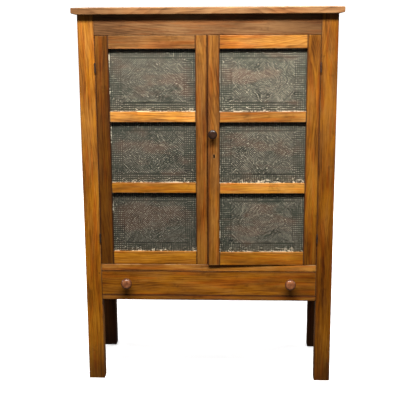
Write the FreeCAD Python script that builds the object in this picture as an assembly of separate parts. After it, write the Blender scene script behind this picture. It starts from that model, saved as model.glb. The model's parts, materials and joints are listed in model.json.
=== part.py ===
"""Pie safe: a free-standing food cupboard on four legs, with two tin-panelled doors over one drawer.

Millimetres, +Z up, the doors face -Y. The origin is on the floor under the middle of the whole.
Every piece is drawn with y = 0 in the plane of the posts' front faces, and moved to the origin at the end.
The standard tins size the doors, and the doors size the case.
Each function below makes the pieces of one sub-assembly: a dictionary from node name to solid.
"""

import FreeCAD, Part
import math
import os

Vector = FreeCAD.Vector

# Tins: standard sheets, three to a door
TIN_WIDTH = 355.6
TIN_HEIGHT = 254.0
TIN_THICKNESS = 0.5
TIN_SIDE_LAP = 10.8
TIN_END_LAP = 6.25
TIN_RECESS = 14.0
TIN_FIT = 1.0
TIN_ROWS = ("lower", "middle", "upper")

# Slits punched through each tin
SLIT_LENGTH = 8.0
SLIT_WIDTH = 2.2
SLIT_PITCH = 60.0
BORDER_INSET = 16.0
LOZENGE_HALF_WIDTH = 112.0
LOZENGE_HALF_HEIGHT = 74.0
LOZENGE_SIDE_SLITS = 3
STAR_RADIUS = 30.0
STAR_SLITS = 6
FAN_RADIUS = 36.0
FAN_SLITS = 1

# Door frames
FRAME_THICKNESS = 22.0
HINGE_STILE_WIDTH = 51.0
MEETING_STILE_WIDTH = 45.0
DOOR_TOP_RAIL_HEIGHT = 50.0
DOOR_MID_RAIL_HEIGHT = 39.3
DOOR_BOTTOM_RAIL_HEIGHT = 51.0
DOOR_END_GAP = 1.5
HINGE_GAP = 1.0
MEETING_GAP = 2.0
DOOR_TENON_LENGTH = 28.0
DOOR_TENON_THICKNESS = 7.0
DOOR_TENON_SHOULDER = 4.0
STILE_END_WOOD = 12.0
STRIP_INSET = 0.5
RIGHT_DOOR_AJAR_DEGREES = 1.4

# Case
POST_WIDTH = 63.0
POST_DEPTH = 48.0
CASE_DEPTH = 412.0
LEG_HEIGHT = 343.5
BOTTOM_RAIL_HEIGHT = 20.5
DRAWER_OPENING_HEIGHT = 102.5
MIDDLE_RAIL_HEIGHT = 27.5
TOP_RAIL_HEIGHT = 77.0
REAR_BOTTOM_RAIL_HEIGHT = 40.0
SIDE_BOTTOM_RAIL_HEIGHT = 44.0
TENON_LENGTH = 30.0
TENON_THICKNESS = 8.0
TENON_SHOULDER = 3.0
POST_END_WOOD = 15.0
PANEL_THICKNESS = 12.0
PANEL_GROOVE_DEPTH = 10.0
BACK_THICKNESS = 10.0
BACK_RABBET = 12.0
BACK_BOARD_COUNT = 6
BACK_BOARD_GAP = 0.8
SHELF_THICKNESS = 16.0
SHELF_FIT = 0.8
CLEAT_HEIGHT = 20.0
CLEAT_THICKNESS = 18.0

# Top board, with a sloping bevel under its two ends
TOP_THICKNESS = 26.0
TOP_SIDE_OVERHANG = 20.0
TOP_FRONT_OVERHANG = 23.0
TOP_REAR_OVERHANG = 8.0
TOP_BEVEL_HEIGHT = 5.0
TOP_BEVEL_DEPTH = 20.0

# Butt hinges
HINGE_HEIGHT = 37.0
HINGE_TOP_DISTANCE = 121.5
HINGE_BOTTOM_DISTANCE = 107.5
LEAF_DEPTH = 18.0
LEAF_THICKNESS = 1.5
BARREL_RADIUS = 3.25
AXIS_PROUD = 3.8
PIN_RADIUS = 1.6
PIN_CLEARANCE = 0.06
KNUCKLE_GAP = 0.3
LEAF_SETBACK = 0.5

# Drawer
DRAWER_FRONT_THICKNESS = 20.0
DRAWER_SIDE_THICKNESS = 12.0
DRAWER_BACK_THICKNESS = 12.0
DRAWER_BOTTOM_THICKNESS = 8.0
DRAWER_BOTTOM_EDGE = 5.0
DRAWER_BEVEL_WIDTH = 30.0
DRAWER_GROOVE_DEPTH = 6.0
DRAWER_GROOVE_MARGIN = 1.0
DRAWER_GAP = 1.5
DRAWER_RUN_GAP = 0.3
DRAWER_KICK_GAP = 3.5
DRAWER_BACK_DROP = 6.0
LAP_THICKNESS = 6.0
TAIL_COUNT = 3
TAIL_SHARE = 0.58
TAIL_SLOPE = 1 / 6
RUNNER_WIDTH = 34.0
GUIDE_HEIGHT = 20.0
KICKER_WIDTH = 26.0

# Turned knobs: the radius and the distance from the face that carries them, and the shares of both
# that shape the head
DRAWER_KNOB_RADIUS = 22.0
DRAWER_KNOB_REACH = 40.0
DRAWER_KNOB_INSET = 102.5
DRAWER_KNOB_RISE = 5.0
DOOR_KNOB_RADIUS = 18.0
DOOR_KNOB_REACH = 28.0
DOOR_KNOB_EDGE_DISTANCE = 18.5
DOOR_KNOB_HEIGHT_SHARE = 0.585
NECK_SHARE = 0.42
HEAD_START_SHARE = 0.5
RIM_END_SHARE = 0.74
FACE_SHARE = 0.58

# Lock on the back of the right meeting stile
LOCK_WIDTH = 38.0
LOCK_HEIGHT = 60.0
LOCK_THICKNESS = 18.0
LOCK_BELOW_KNOB = 84.5
LOCK_EDGE_INSET = 3.0
LOCK_BOLT_LENGTH = 24.0
LOCK_BOLT_HEIGHT = 10.0
LOCK_BOLT_THICKNESS = 5.0
LOCK_BOLT_SETBACK = 11.5
LOCK_BOLT_RISE = 14.0
LOCK_BOLT_TRAVEL = 9.0
LOCK_BOLT_CLEARANCE = 0.2
KEYHOLE_BESIDE_KNOB = 5.5
KEYHOLE_RADIUS = 3.0
KEYHOLE_SLOT_WIDTH = 4.0
KEYHOLE_SLOT_HEIGHT = 10.5
KEYHOLE_DEPTH_IN_LOCK = 8.0

# Inner bolt on the back of the left meeting stile
BOLT_WIDTH = 8.0
BOLT_THICKNESS = 5.0
BOLT_LENGTH = 73.0
BOLT_TRAVEL = 13.0
BOLT_TOP_INSET = 2.0
BOLT_CLEARANCE = 0.3
BOLT_PLATE_WIDTH = 22.0
BOLT_PLATE_THICKNESS = 1.5
BOLT_PLATE_MARGIN = 5.0
STAPLE_HEIGHT = 6.0
STAPLE_METAL = 1.8
STAPLE_END_DISTANCE = 10.0
THUMB_RADIUS = 3.5
THUMB_LENGTH = 9.0
THUMB_CLEARANCE = 18.5

# Heights above the floor that follow from the sizes above
BOTTOM_RAIL_TOP = LEG_HEIGHT + BOTTOM_RAIL_HEIGHT
DRAWER_OPENING_TOP = BOTTOM_RAIL_TOP + DRAWER_OPENING_HEIGHT
DOOR_OPENING_BOTTOM = DRAWER_OPENING_TOP + MIDDLE_RAIL_HEIGHT
SIGHT_HEIGHT = TIN_HEIGHT - 2 * TIN_END_LAP
DOOR_LOW = DOOR_OPENING_BOTTOM + DOOR_END_GAP
ROW_PITCH = SIGHT_HEIGHT + DOOR_MID_RAIL_HEIGHT
FIRST_SIGHT_LOW = DOOR_LOW + DOOR_BOTTOM_RAIL_HEIGHT
LAST_SIGHT_HIGH = FIRST_SIGHT_LOW + len(TIN_ROWS) * ROW_PITCH - DOOR_MID_RAIL_HEIGHT
DOOR_HIGH = LAST_SIGHT_HIGH + DOOR_TOP_RAIL_HEIGHT
DOOR_OPENING_TOP = DOOR_HIGH + DOOR_END_GAP
POST_HEIGHT = DOOR_OPENING_TOP + TOP_RAIL_HEIGHT
SIDE_BOTTOM_RAIL_TOP = LEG_HEIGHT + SIDE_BOTTOM_RAIL_HEIGHT

# Distances from the middle plane that follow from the sizes above
SIGHT_WIDTH = TIN_WIDTH - 2 * TIN_SIDE_LAP
DOOR_FREE_EDGE = MEETING_GAP / 2
SIGHT_INNER = DOOR_FREE_EDGE + MEETING_STILE_WIDTH
SIGHT_OUTER = SIGHT_INNER + SIGHT_WIDTH
DOOR_HINGE_EDGE = SIGHT_OUTER + HINGE_STILE_WIDTH
POST_INNER = DOOR_HINGE_EDGE + HINGE_GAP
CASE_HALF_WIDTH = POST_INNER + POST_WIDTH
PANEL_CENTRE = CASE_HALF_WIDTH - FRAME_THICKNESS / 2
PANEL_INNER = PANEL_CENTRE - PANEL_THICKNESS / 2

# Distances behind the posts' front faces that follow from the sizes above
REAR_POST_FRONT = CASE_DEPTH - POST_DEPTH
BACK_FRONT = CASE_DEPTH - BACK_THICKNESS
REAR_RAIL_FRONT = BACK_FRONT - FRAME_THICKNESS

# Hinge axis, knob and lock of the right door, and how far the whole reaches in front of the posts
AXIS_X = DOOR_HINGE_EDGE + HINGE_GAP / 2
AJAR = math.radians(RIGHT_DOOR_AJAR_DEGREES)
DOOR_KNOB_X = DOOR_FREE_EDGE + DOOR_KNOB_EDGE_DISTANCE
DOOR_KNOB_Z = DOOR_LOW + DOOR_KNOB_HEIGHT_SHARE * (DOOR_HIGH - DOOR_LOW)
LOCK_Z = DOOR_KNOB_Z - LOCK_BELOW_KNOB
LOCK_X = DOOR_FREE_EDGE + LOCK_EDGE_INSET
AJAR_KNOB_REACH = (
    AXIS_PROUD
    + (AXIS_X - DOOR_KNOB_X) * math.sin(AJAR)
    + (DOOR_KNOB_REACH - AXIS_PROUD) * math.cos(AJAR)
)
FRONT_REACH = max(DRAWER_KNOB_REACH, TOP_FRONT_OVERHANG, AJAR_KNOB_REACH)
FRONT = (FRONT_REACH - CASE_DEPTH - TOP_REAR_OVERHANG) / 2


def block(x, y, z):
    """A box between pairs of low and high values."""
    return Part.makeBox(x[1] - x[0], y[1] - y[0], z[1] - z[0], Vector(x[0], y[0], z[0]))


def joined(shapes):
    """One solid from solids that touch or overlap."""
    return shapes[0].fuse(shapes[1:]).removeSplitter()


def mirrored(shape):
    """The same piece on the other side of the middle plane."""
    return shape.mirror(Vector(0, 0, 0), Vector(1, 0, 0))


def inset(span, amount):
    """A span of low and high values, drawn in at both ends."""
    return span[0] + amount, span[1] - amount


def centred(middle, size):
    """The span of a size about its middle."""
    return middle - size / 2, middle + size / 2


def group(solids):
    """Separate identical pieces that share one node."""
    return Part.makeCompound(solids)


# ---------------------------------------------------------------- case


def front_rail_spans():
    """Heights of the three rails across the front."""
    return {
        "top": (DOOR_OPENING_TOP, POST_HEIGHT),
        "middle": (DRAWER_OPENING_TOP, DOOR_OPENING_BOTTOM),
        "bottom": (LEG_HEIGHT, BOTTOM_RAIL_TOP),
    }


def rear_rail_spans():
    """Heights of the two rails across the back."""
    return {
        "top": (DOOR_OPENING_TOP, POST_HEIGHT),
        "bottom": (LEG_HEIGHT, LEG_HEIGHT + REAR_BOTTOM_RAIL_HEIGHT),
    }


def side_rail_spans():
    """Heights of the two rails of each side."""
    return {
        "top": (DOOR_OPENING_TOP, POST_HEIGHT),
        "bottom": (LEG_HEIGHT, SIDE_BOTTOM_RAIL_TOP),
    }


def tenon_span(span):
    """Height of a rail's tenon: inside its shoulders, and below the wood left at the post's top."""
    low, high = inset(span, TENON_SHOULDER)
    return low, min(high, POST_HEIGHT - POST_END_WOOD)


def rail_tenon_depth(front):
    """Front and back of the tenon on a rail across the case whose front face is given."""
    return centred(front + FRAME_THICKNESS / 2, TENON_THICKNESS)


def cross_rail(span, front):
    """A rail between two posts, with a tenon on each end."""
    body = block((-POST_INNER, POST_INNER), (front, front + FRAME_THICKNESS), span)
    reach = POST_INNER + TENON_LENGTH
    tenons = block((-reach, reach), rail_tenon_depth(front), tenon_span(span))
    return joined([body, tenons])


def side_rail(span):
    """A rail of the right side, with a tenon on each end and a groove for the panel."""
    across = (CASE_HALF_WIDTH - FRAME_THICKNESS, CASE_HALF_WIDTH)
    body = block(across, (POST_DEPTH, REAR_POST_FRONT), span)
    tenons = block(
        centred(PANEL_CENTRE, TENON_THICKNESS),
        (POST_DEPTH - TENON_LENGTH, REAR_POST_FRONT + TENON_LENGTH),
        tenon_span(span),
    )
    return joined([body, tenons]).cut(side_panel_space())


def side_panel_heights():
    """Low and high edge of the side panel, in the grooves of its rails."""
    return SIDE_BOTTOM_RAIL_TOP - PANEL_GROOVE_DEPTH, DOOR_OPENING_TOP + PANEL_GROOVE_DEPTH


def side_panel_space():
    """The room that the right side panel takes in the grooves of its rails."""
    return block(
        centred(PANEL_CENTRE, PANEL_THICKNESS),
        (POST_DEPTH, REAR_POST_FRONT),
        side_panel_heights(),
    )


def side_panel():
    """The right side panel, with its corners notched where the rails' tenons pass."""
    across = centred(PANEL_CENTRE, PANEL_THICKNESS)
    middle = block(across, (POST_DEPTH, REAR_POST_FRONT), side_panel_heights())
    tongues = block(
        across,
        (POST_DEPTH - PANEL_GROOVE_DEPTH, REAR_POST_FRONT + PANEL_GROOVE_DEPTH),
        (SIDE_BOTTOM_RAIL_TOP, DOOR_OPENING_TOP),
    )
    return joined([middle, tongues])


def post_cuts(rails, rail_front, groove_depth_span, side_mortise_span):
    """What is taken from a right-hand post: mortises on two faces and the panel groove."""
    cuts = [
        block((POST_INNER, POST_INNER + TENON_LENGTH), rail_tenon_depth(rail_front), tenon_span(span))
        for span in rails.values()
    ]
    cuts += [
        block(centred(PANEL_CENTRE, TENON_THICKNESS), side_mortise_span, tenon_span(span))
        for span in side_rail_spans().values()
    ]
    groove = block(
        centred(PANEL_CENTRE, PANEL_THICKNESS), groove_depth_span, (SIDE_BOTTOM_RAIL_TOP, DOOR_OPENING_TOP)
    )
    return cuts + [groove]


def front_post():
    """The right front post: mortised, grooved, and let in for the hinge leaves."""
    post = block((POST_INNER, CASE_HALF_WIDTH), (0, POST_DEPTH), (0, POST_HEIGHT))
    cuts = post_cuts(
        front_rail_spans(),
        0,
        (POST_DEPTH - PANEL_GROOVE_DEPTH, POST_DEPTH),
        (POST_DEPTH - TENON_LENGTH, POST_DEPTH),
    )
    leaf_across = (POST_INNER, POST_INNER + LEAF_THICKNESS)
    cuts += [block(leaf_across, (0, LEAF_DEPTH), span) for span in hinge_spans()]
    return post.cut(cuts)


def rear_post():
    """The right rear post: mortised, grooved, and rabbeted for the back boards."""
    post = block((POST_INNER, CASE_HALF_WIDTH), (REAR_POST_FRONT, CASE_DEPTH), (0, POST_HEIGHT))
    cuts = post_cuts(
        rear_rail_spans(),
        REAR_RAIL_FRONT,
        (REAR_POST_FRONT, REAR_POST_FRONT + PANEL_GROOVE_DEPTH),
        (REAR_POST_FRONT, REAR_POST_FRONT + TENON_LENGTH),
    )
    rabbet = block(
        (POST_INNER, POST_INNER + BACK_RABBET), (BACK_FRONT, CASE_DEPTH), (LEG_HEIGHT, POST_HEIGHT)
    )
    return post.cut(cuts + [rabbet])


def back_boards():
    """Level planks in the rear posts' rabbets, with a shrinkage gap between each two."""
    reach = POST_INNER + BACK_RABBET
    pitch = (POST_HEIGHT - LEG_HEIGHT) / BACK_BOARD_COUNT
    planks = []
    for index in range(BACK_BOARD_COUNT):
        low = LEG_HEIGHT + index * pitch
        planks.append(block((-reach, reach), (BACK_FRONT, CASE_DEPTH), (low, low + pitch - BACK_BOARD_GAP)))
    return group(planks)


def prism(corners, direction):
    """A closed outline drawn out along a direction."""
    return Part.Face(Part.makePolygon(corners + corners[:1])).extrude(direction)


def top_board():
    """The top: a board whose lower edge slopes in under both ends."""
    half = CASE_HALF_WIDTH + TOP_SIDE_OVERHANG
    front = -TOP_FRONT_OVERHANG
    rear = CASE_DEPTH + TOP_REAR_OVERHANG
    board = block((-half, half), (front, rear), (POST_HEIGHT, POST_HEIGHT + TOP_THICKNESS))
    bevel_top = POST_HEIGHT + TOP_BEVEL_HEIGHT
    end_wedge = prism(
        [
            Vector(half, front, POST_HEIGHT),
            Vector(half - TOP_BEVEL_DEPTH, front, POST_HEIGHT),
            Vector(half, front, bevel_top),
        ],
        Vector(0, rear - front, 0),
    )
    return board.cut([end_wedge, mirrored(end_wedge)])


def shelf(top, front):
    """A shelf notched round the four posts, from its top face and front edge."""
    heights = (top - SHELF_THICKNESS, top)
    between_posts = POST_INNER - SHELF_FIT
    between_panels = PANEL_INNER - SHELF_FIT
    long_way = block((-between_posts, between_posts), (front, BACK_FRONT - SHELF_FIT), heights)
    wide_way = block(
        (-between_panels, between_panels), inset((POST_DEPTH, REAR_POST_FRONT), SHELF_FIT), heights
    )
    rear_rail = block((-POST_INNER, POST_INNER), (REAR_RAIL_FRONT, CASE_DEPTH), rear_rail_spans()["bottom"])
    return joined([long_way, wide_way]).cut(rear_rail)


def shelf_tops():
    """Heights of the three levels, each behind a rail of the doors or of the case."""
    middle_of_first_mid_rail = FIRST_SIGHT_LOW + SIGHT_HEIGHT + DOOR_MID_RAIL_HEIGHT / 2
    return {
        "cupboard_floor": DOOR_OPENING_BOTTOM,
        "lower_shelf": middle_of_first_mid_rail + SHELF_THICKNESS / 2,
        "upper_shelf": middle_of_first_mid_rail + SHELF_THICKNESS / 2 + ROW_PITCH,
    }


def shelves():
    """The cupboard's floor and shelves. The shelves' front edges stop the doors."""
    tops = shelf_tops()
    stop = FRAME_THICKNESS + DOOR_END_GAP
    return {
        "cupboard_floor": shelf(tops["cupboard_floor"], FRAME_THICKNESS),
        "lower_shelf": shelf(tops["lower_shelf"], stop),
        "upper_shelf": shelf(tops["upper_shelf"], stop),
    }


def shelf_cleats():
    """Strips on the side panels that carry the floor and the shelves."""
    cleats = []
    for top in shelf_tops().values():
        under = top - SHELF_THICKNESS
        cleat = block(
            (PANEL_INNER - CLEAT_THICKNESS, PANEL_INNER),
            (POST_DEPTH, REAR_POST_FRONT),
            (under - CLEAT_HEIGHT, under),
        )
        cleats += [cleat, mirrored(cleat)]
    return group(cleats)


def drawer_runner():
    """The right runner: a ledge level with the bottom rail, and a guide that keeps the drawer straight."""
    heights = (LEG_HEIGHT, BOTTOM_RAIL_TOP)
    ledge = block((POST_INNER - RUNNER_WIDTH, POST_INNER), (FRAME_THICKNESS, REAR_RAIL_FRONT), heights)
    rail_inner = CASE_HALF_WIDTH - FRAME_THICKNESS
    between_posts = (POST_DEPTH, REAR_POST_FRONT)
    root = block((POST_INNER, rail_inner), between_posts, heights)
    guide = block((POST_INNER, rail_inner), between_posts, (BOTTOM_RAIL_TOP, BOTTOM_RAIL_TOP + GUIDE_HEIGHT))
    return joined([ledge, root, guide])


def drawer_kicker():
    """The right kicker, under the cupboard floor, that stops the drawer from tipping."""
    return block(
        (POST_INNER - KICKER_WIDTH, POST_INNER - SHELF_FIT),
        (FRAME_THICKNESS, REAR_RAIL_FRONT),
        (DRAWER_OPENING_TOP, DOOR_OPENING_BOTTOM - SHELF_THICKNESS),
    )


def case():
    """The framed box, its panels and what is fixed inside it."""
    front, rear = front_post(), rear_post()
    pieces = {
        "front_left_post": mirrored(front),
        "front_right_post": front,
        "rear_left_post": mirrored(rear),
        "rear_right_post": rear,
        "top_board": top_board(),
        "back_boards": back_boards(),
        "shelf_cleats": shelf_cleats(),
        "drawer_runners": group([drawer_runner(), mirrored(drawer_runner())]),
        "drawer_kickers": group([drawer_kicker(), mirrored(drawer_kicker())]),
        "right_side_panel": side_panel(),
        "left_side_panel": mirrored(side_panel()),
        "hinge_post_leaves": hinge_post_leaves(),
    }
    for name, span in front_rail_spans().items():
        pieces[f"front_{name}_rail"] = cross_rail(span, 0)
    for name, span in rear_rail_spans().items():
        pieces[f"rear_{name}_rail"] = cross_rail(span, REAR_RAIL_FRONT)
    for name, span in side_rail_spans().items():
        pieces[f"right_side_{name}_rail"] = side_rail(span)
        pieces[f"left_side_{name}_rail"] = mirrored(side_rail(span))
    pieces.update(shelves())
    return pieces


# ---------------------------------------------------------------- doors


def sight_spans():
    """Height of each tin that shows, from the lowest up."""
    lows = [FIRST_SIGHT_LOW + row * ROW_PITCH for row in range(len(TIN_ROWS))]
    return [(low, low + SIGHT_HEIGHT) for low in lows]


def door_rail_spans():
    """Heights of a door's rails."""
    first_mid = FIRST_SIGHT_LOW + SIGHT_HEIGHT
    second_mid = first_mid + ROW_PITCH
    return {
        "bottom_rail": (DOOR_LOW, FIRST_SIGHT_LOW),
        "lower_mid_rail": (first_mid, first_mid + DOOR_MID_RAIL_HEIGHT),
        "upper_mid_rail": (second_mid, second_mid + DOOR_MID_RAIL_HEIGHT),
        "top_rail": (LAST_SIGHT_HIGH, DOOR_HIGH),
    }


def door_tenon_span(span):
    """Height of a door rail's tenon, clear of the ends of the stiles."""
    low, high = inset(span, DOOR_TENON_SHOULDER)
    return max(low, DOOR_LOW + STILE_END_WOOD), min(high, DOOR_HIGH - STILE_END_WOOD)


def door_tenon_depth():
    """Front and back of a door tenon, just in front of the plane of the tins."""
    return TIN_RECESS - DOOR_TENON_THICKNESS, TIN_RECESS


def door_stile(outer, inner):
    """A stile of the right door, mortised for the rails and rabbeted behind for the tins."""
    toward = 1 if outer > inner else -1
    stile = block(sorted((outer, inner)), (0, FRAME_THICKNESS), (DOOR_LOW, DOOR_HIGH))
    mortise = sorted((inner, inner + toward * DOOR_TENON_LENGTH))
    cuts = [block(mortise, door_tenon_depth(), door_tenon_span(span)) for span in door_rail_spans().values()]
    rabbet_end = TIN_END_LAP + TIN_FIT
    cuts.append(
        block(
            sorted((inner, inner + toward * (TIN_SIDE_LAP + TIN_FIT))),
            (TIN_RECESS, FRAME_THICKNESS),
            (FIRST_SIGHT_LOW - rabbet_end, LAST_SIGHT_HIGH + rabbet_end),
        )
    )
    return stile.cut(cuts)


def door_rail(span):
    """A rail of the right door. Where tins lie on both sides, its back fills the stiles' rabbets."""
    low, high = span
    rabbet = TIN_END_LAP + TIN_FIT
    tin_below = low > DOOR_LOW
    tin_above = high < DOOR_HIGH
    back_reach = TIN_SIDE_LAP + TIN_FIT if tin_below and tin_above else 0
    front = block((SIGHT_INNER, SIGHT_OUTER), (0, TIN_RECESS), span)
    back = block(
        (SIGHT_INNER - back_reach, SIGHT_OUTER + back_reach),
        (TIN_RECESS, FRAME_THICKNESS),
        (low + rabbet * tin_below, high - rabbet * tin_above),
    )
    tenons = block(
        (SIGHT_INNER - DOOR_TENON_LENGTH, SIGHT_OUTER + DOOR_TENON_LENGTH),
        door_tenon_depth(),
        door_tenon_span(span),
    )
    return joined([front, back, tenons])


def spread(half, pitch):
    """Evenly spaced places between minus half and half, about a pitch apart."""
    count = max(1, round(2 * half / pitch))
    return [half * ((2 * index + 1) / count - 1) for index in range(count)]


def border_slits():
    """Slits along a rectangle just inside the part of the tin that shows: x, z and angle."""
    half_width = SIGHT_WIDTH / 2 - BORDER_INSET
    half_height = SIGHT_HEIGHT / 2 - BORDER_INSET
    slits = []
    for side in (-1, 1):
        slits += [(x, side * half_height, 0) for x in spread(half_width, SLIT_PITCH)]
        slits += [(side * half_width, z, math.pi / 2) for z in spread(half_height, SLIT_PITCH)]
    return slits


def lozenge_slits():
    """Slits end to end along the four sides of a lozenge."""
    slits = []
    for side_x in (-1, 1):
        for side_z in (-1, 1):
            angle = math.atan2(-side_z * LOZENGE_HALF_HEIGHT, side_x * LOZENGE_HALF_WIDTH)
            for index in range(LOZENGE_SIDE_SLITS):
                share = (index + 0.5) / LOZENGE_SIDE_SLITS
                slits.append(
                    (side_x * LOZENGE_HALF_WIDTH * share, side_z * LOZENGE_HALF_HEIGHT * (1 - share), angle)
                )
    return slits


def star_slits():
    """Slits like spokes round the middle."""
    angles = [2 * math.pi * index / STAR_SLITS for index in range(STAR_SLITS)]
    return [(STAR_RADIUS * math.cos(angle), STAR_RADIUS * math.sin(angle), angle) for angle in angles]


def fan_slits():
    """Slits on a quarter circle about each corner of the border."""
    slits = []
    for side_x in (-1, 1):
        for side_z in (-1, 1):
            for index in range(FAN_SLITS):
                turn = math.pi / 2 * (index + 0.5) / FAN_SLITS
                x = side_x * (SIGHT_WIDTH / 2 - BORDER_INSET - FAN_RADIUS * math.cos(turn))
                z = side_z * (SIGHT_HEIGHT / 2 - BORDER_INSET - FAN_RADIUS * math.sin(turn))
                slits.append((x, z, math.atan2(side_z * math.sin(turn), side_x * math.cos(turn))))
    return slits


def slit_wire(x, z, angle):
    """Outline of one slit: a long diamond."""
    along = Vector(math.cos(angle), 0, math.sin(angle)) * (SLIT_LENGTH / 2)
    across = Vector(-math.sin(angle), 0, math.cos(angle)) * (SLIT_WIDTH / 2)
    middle = Vector(x, 0, z)
    corners = [middle + along, middle + across, middle - along, middle - across]
    return Part.makePolygon(corners + corners[:1])


def tin_at_origin():
    """One punched tin, centred on the origin, with its front face in the plane y = 0."""
    half_width, half_height = TIN_WIDTH / 2, TIN_HEIGHT / 2
    corners = [
        Vector(-half_width, 0, -half_height),
        Vector(half_width, 0, -half_height),
        Vector(half_width, 0, half_height),
        Vector(-half_width, 0, half_height),
    ]
    outline = Part.makePolygon(corners + corners[:1])
    slits = border_slits() + lozenge_slits() + star_slits() + fan_slits()
    wires = [outline] + [slit_wire(*slit) for slit in slits]
    return Part.makeFace(wires, "Part::FaceMakerBullseye").extrude(Vector(0, TIN_THICKNESS, 0))


def door_tins():
    """The three tins of the right door, from the lowest up."""
    tin = tin_at_origin()
    middle = (SIGHT_INNER + SIGHT_OUTER) / 2
    return [tin.translated(Vector(middle, TIN_RECESS, sum(span) / 2)) for span in sight_spans()]


def door_strips():
    """The strips that hold the tins in their rabbets: four butted strips behind each tin."""
    depth = (TIN_RECESS + TIN_THICKNESS, FRAME_THICKNESS - STRIP_INSET)
    side_room = TIN_SIDE_LAP + TIN_FIT
    end_room = TIN_END_LAP + TIN_FIT
    strips = []
    for low, high in sight_spans():
        full = (SIGHT_INNER - side_room, SIGHT_OUTER + side_room)
        strips += [
            block(full, depth, (low - end_room, low)),
            block(full, depth, (high, high + end_room)),
            block((SIGHT_INNER - side_room, SIGHT_INNER), depth, (low, high)),
            block((SIGHT_OUTER, SIGHT_OUTER + side_room), depth, (low, high)),
        ]
    return group(strips)


def hinge_spans():
    """Heights of the lower and the upper hinge."""
    lower = DOOR_LOW + HINGE_BOTTOM_DISTANCE
    upper = DOOR_HIGH - HINGE_TOP_DISTANCE
    return [centred(lower, HINGE_HEIGHT), centred(upper, HINGE_HEIGHT)]


def knuckle_spans(span):
    """Heights of a hinge's three knuckles: the outer two are the post leaf's."""
    third = HINGE_HEIGHT / 3
    cuts = [span[0] + third, span[0] + 2 * third]
    return (
        (span[0], cuts[0] - KNUCKLE_GAP / 2),
        (cuts[0] + KNUCKLE_GAP / 2, cuts[1] - KNUCKLE_GAP / 2),
        (cuts[1] + KNUCKLE_GAP / 2, span[1]),
    )


def axis_cylinder(radius, span):
    """A round bar on the right door's hinge axis."""
    return Part.makeCylinder(radius, span[1] - span[0], Vector(AXIS_X, -AXIS_PROUD, span[0]))


def leaf(across, span, knuckles):
    """A hinge leaf with its knuckles: the plate reaches the barrel only behind its own knuckles."""
    parts = [block(across, (LEAF_SETBACK, LEAF_DEPTH), span)]
    for knuckle in knuckles:
        parts.append(block(across, (-AXIS_PROUD, LEAF_SETBACK), knuckle))
        parts.append(axis_cylinder(BARREL_RADIUS, knuckle))
    return joined(parts)


def hinge_post_leaves():
    """The four posts' leaves: two outer knuckles with the hinge's pin riveted in them."""
    across = (POST_INNER, POST_INNER + LEAF_THICKNESS)
    leaves = [
        joined([leaf(across, span, knuckle_spans(span)[::2]), axis_cylinder(PIN_RADIUS, span)])
        for span in hinge_spans()
    ]
    return group(leaves + [mirrored(one) for one in leaves])


def hinge_door_leaves():
    """The right door's two hinge leaves, whose middle knuckle turns on the pin."""
    across = (DOOR_HINGE_EDGE - LEAF_THICKNESS, DOOR_HINGE_EDGE)
    bore = PIN_RADIUS + PIN_CLEARANCE
    leaves = [leaf(across, span, knuckle_spans(span)[1:2]) for span in hinge_spans()]
    return group([one.cut(axis_cylinder(bore, span)) for one, span in zip(leaves, hinge_spans())])


def turned(profile, x, z):
    """A solid of revolution about a line along Y, from radius and y down one side of its outline."""
    points = [Vector(radius, y, 0) for radius, y in profile]
    face = Part.Face(Part.makePolygon(points + points[:1]))
    return face.revolve(Vector(0, 0, 0), Vector(0, 1, 0), 360).translated(Vector(x, 0, z))


def knob(radius, reach, spigot, x, z):
    """A turned mushroom knob on a face at y = 0, whose neck runs on as a spigot through the wood."""
    outline = [
        (0, spigot),
        (radius * NECK_SHARE, spigot),
        (radius * NECK_SHARE, -reach * HEAD_START_SHARE),
        (radius, -reach * HEAD_START_SHARE),
        (radius, -reach * RIM_END_SHARE),
        (radius * FACE_SHARE, -reach),
        (0, -reach),
    ]
    return turned(outline, x, z)


def spigot_hole(radius, depth, x, z):
    """The hole that a knob's spigot fills."""
    return Part.makeCylinder(radius * NECK_SHARE, depth, Vector(x, 0, z), Vector(0, 1, 0))


def keyhole(depth):
    """A keyhole through the stile and into the lock: a round eye over a narrow slot."""
    middle = DOOR_KNOB_X + KEYHOLE_BESIDE_KNOB
    eye = Part.makeCylinder(KEYHOLE_RADIUS, depth, Vector(middle, 0, LOCK_Z), Vector(0, 1, 0))
    slot = block(centred(middle, KEYHOLE_SLOT_WIDTH), (0, depth), (LOCK_Z - KEYHOLE_SLOT_HEIGHT, LOCK_Z))
    return joined([eye, slot])


def lock_bolt(clearance, travel_room):
    """The lock's sliding bolt, drawn in. With a clearance, it is the channel that the bolt runs in."""
    depth = FRAME_THICKNESS + LOCK_BOLT_SETBACK
    return block(
        (LOCK_X - travel_room, LOCK_X + LOCK_BOLT_LENGTH + clearance),
        inset((depth, depth + LOCK_BOLT_THICKNESS), -clearance),
        inset(centred(LOCK_Z + LOCK_BOLT_RISE, LOCK_BOLT_HEIGHT), -clearance),
    )


def lock_case():
    """The box of the lock on the back of the stile, with its keyhole and its bolt's channel."""
    body = block(
        (LOCK_X, LOCK_X + LOCK_WIDTH),
        (FRAME_THICKNESS, FRAME_THICKNESS + LOCK_THICKNESS),
        centred(LOCK_Z, LOCK_HEIGHT),
    )
    channel = lock_bolt(LOCK_BOLT_CLEARANCE, LOCK_BOLT_TRAVEL)
    return body.cut([channel, keyhole(FRAME_THICKNESS + KEYHOLE_DEPTH_IN_LOCK)])


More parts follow.
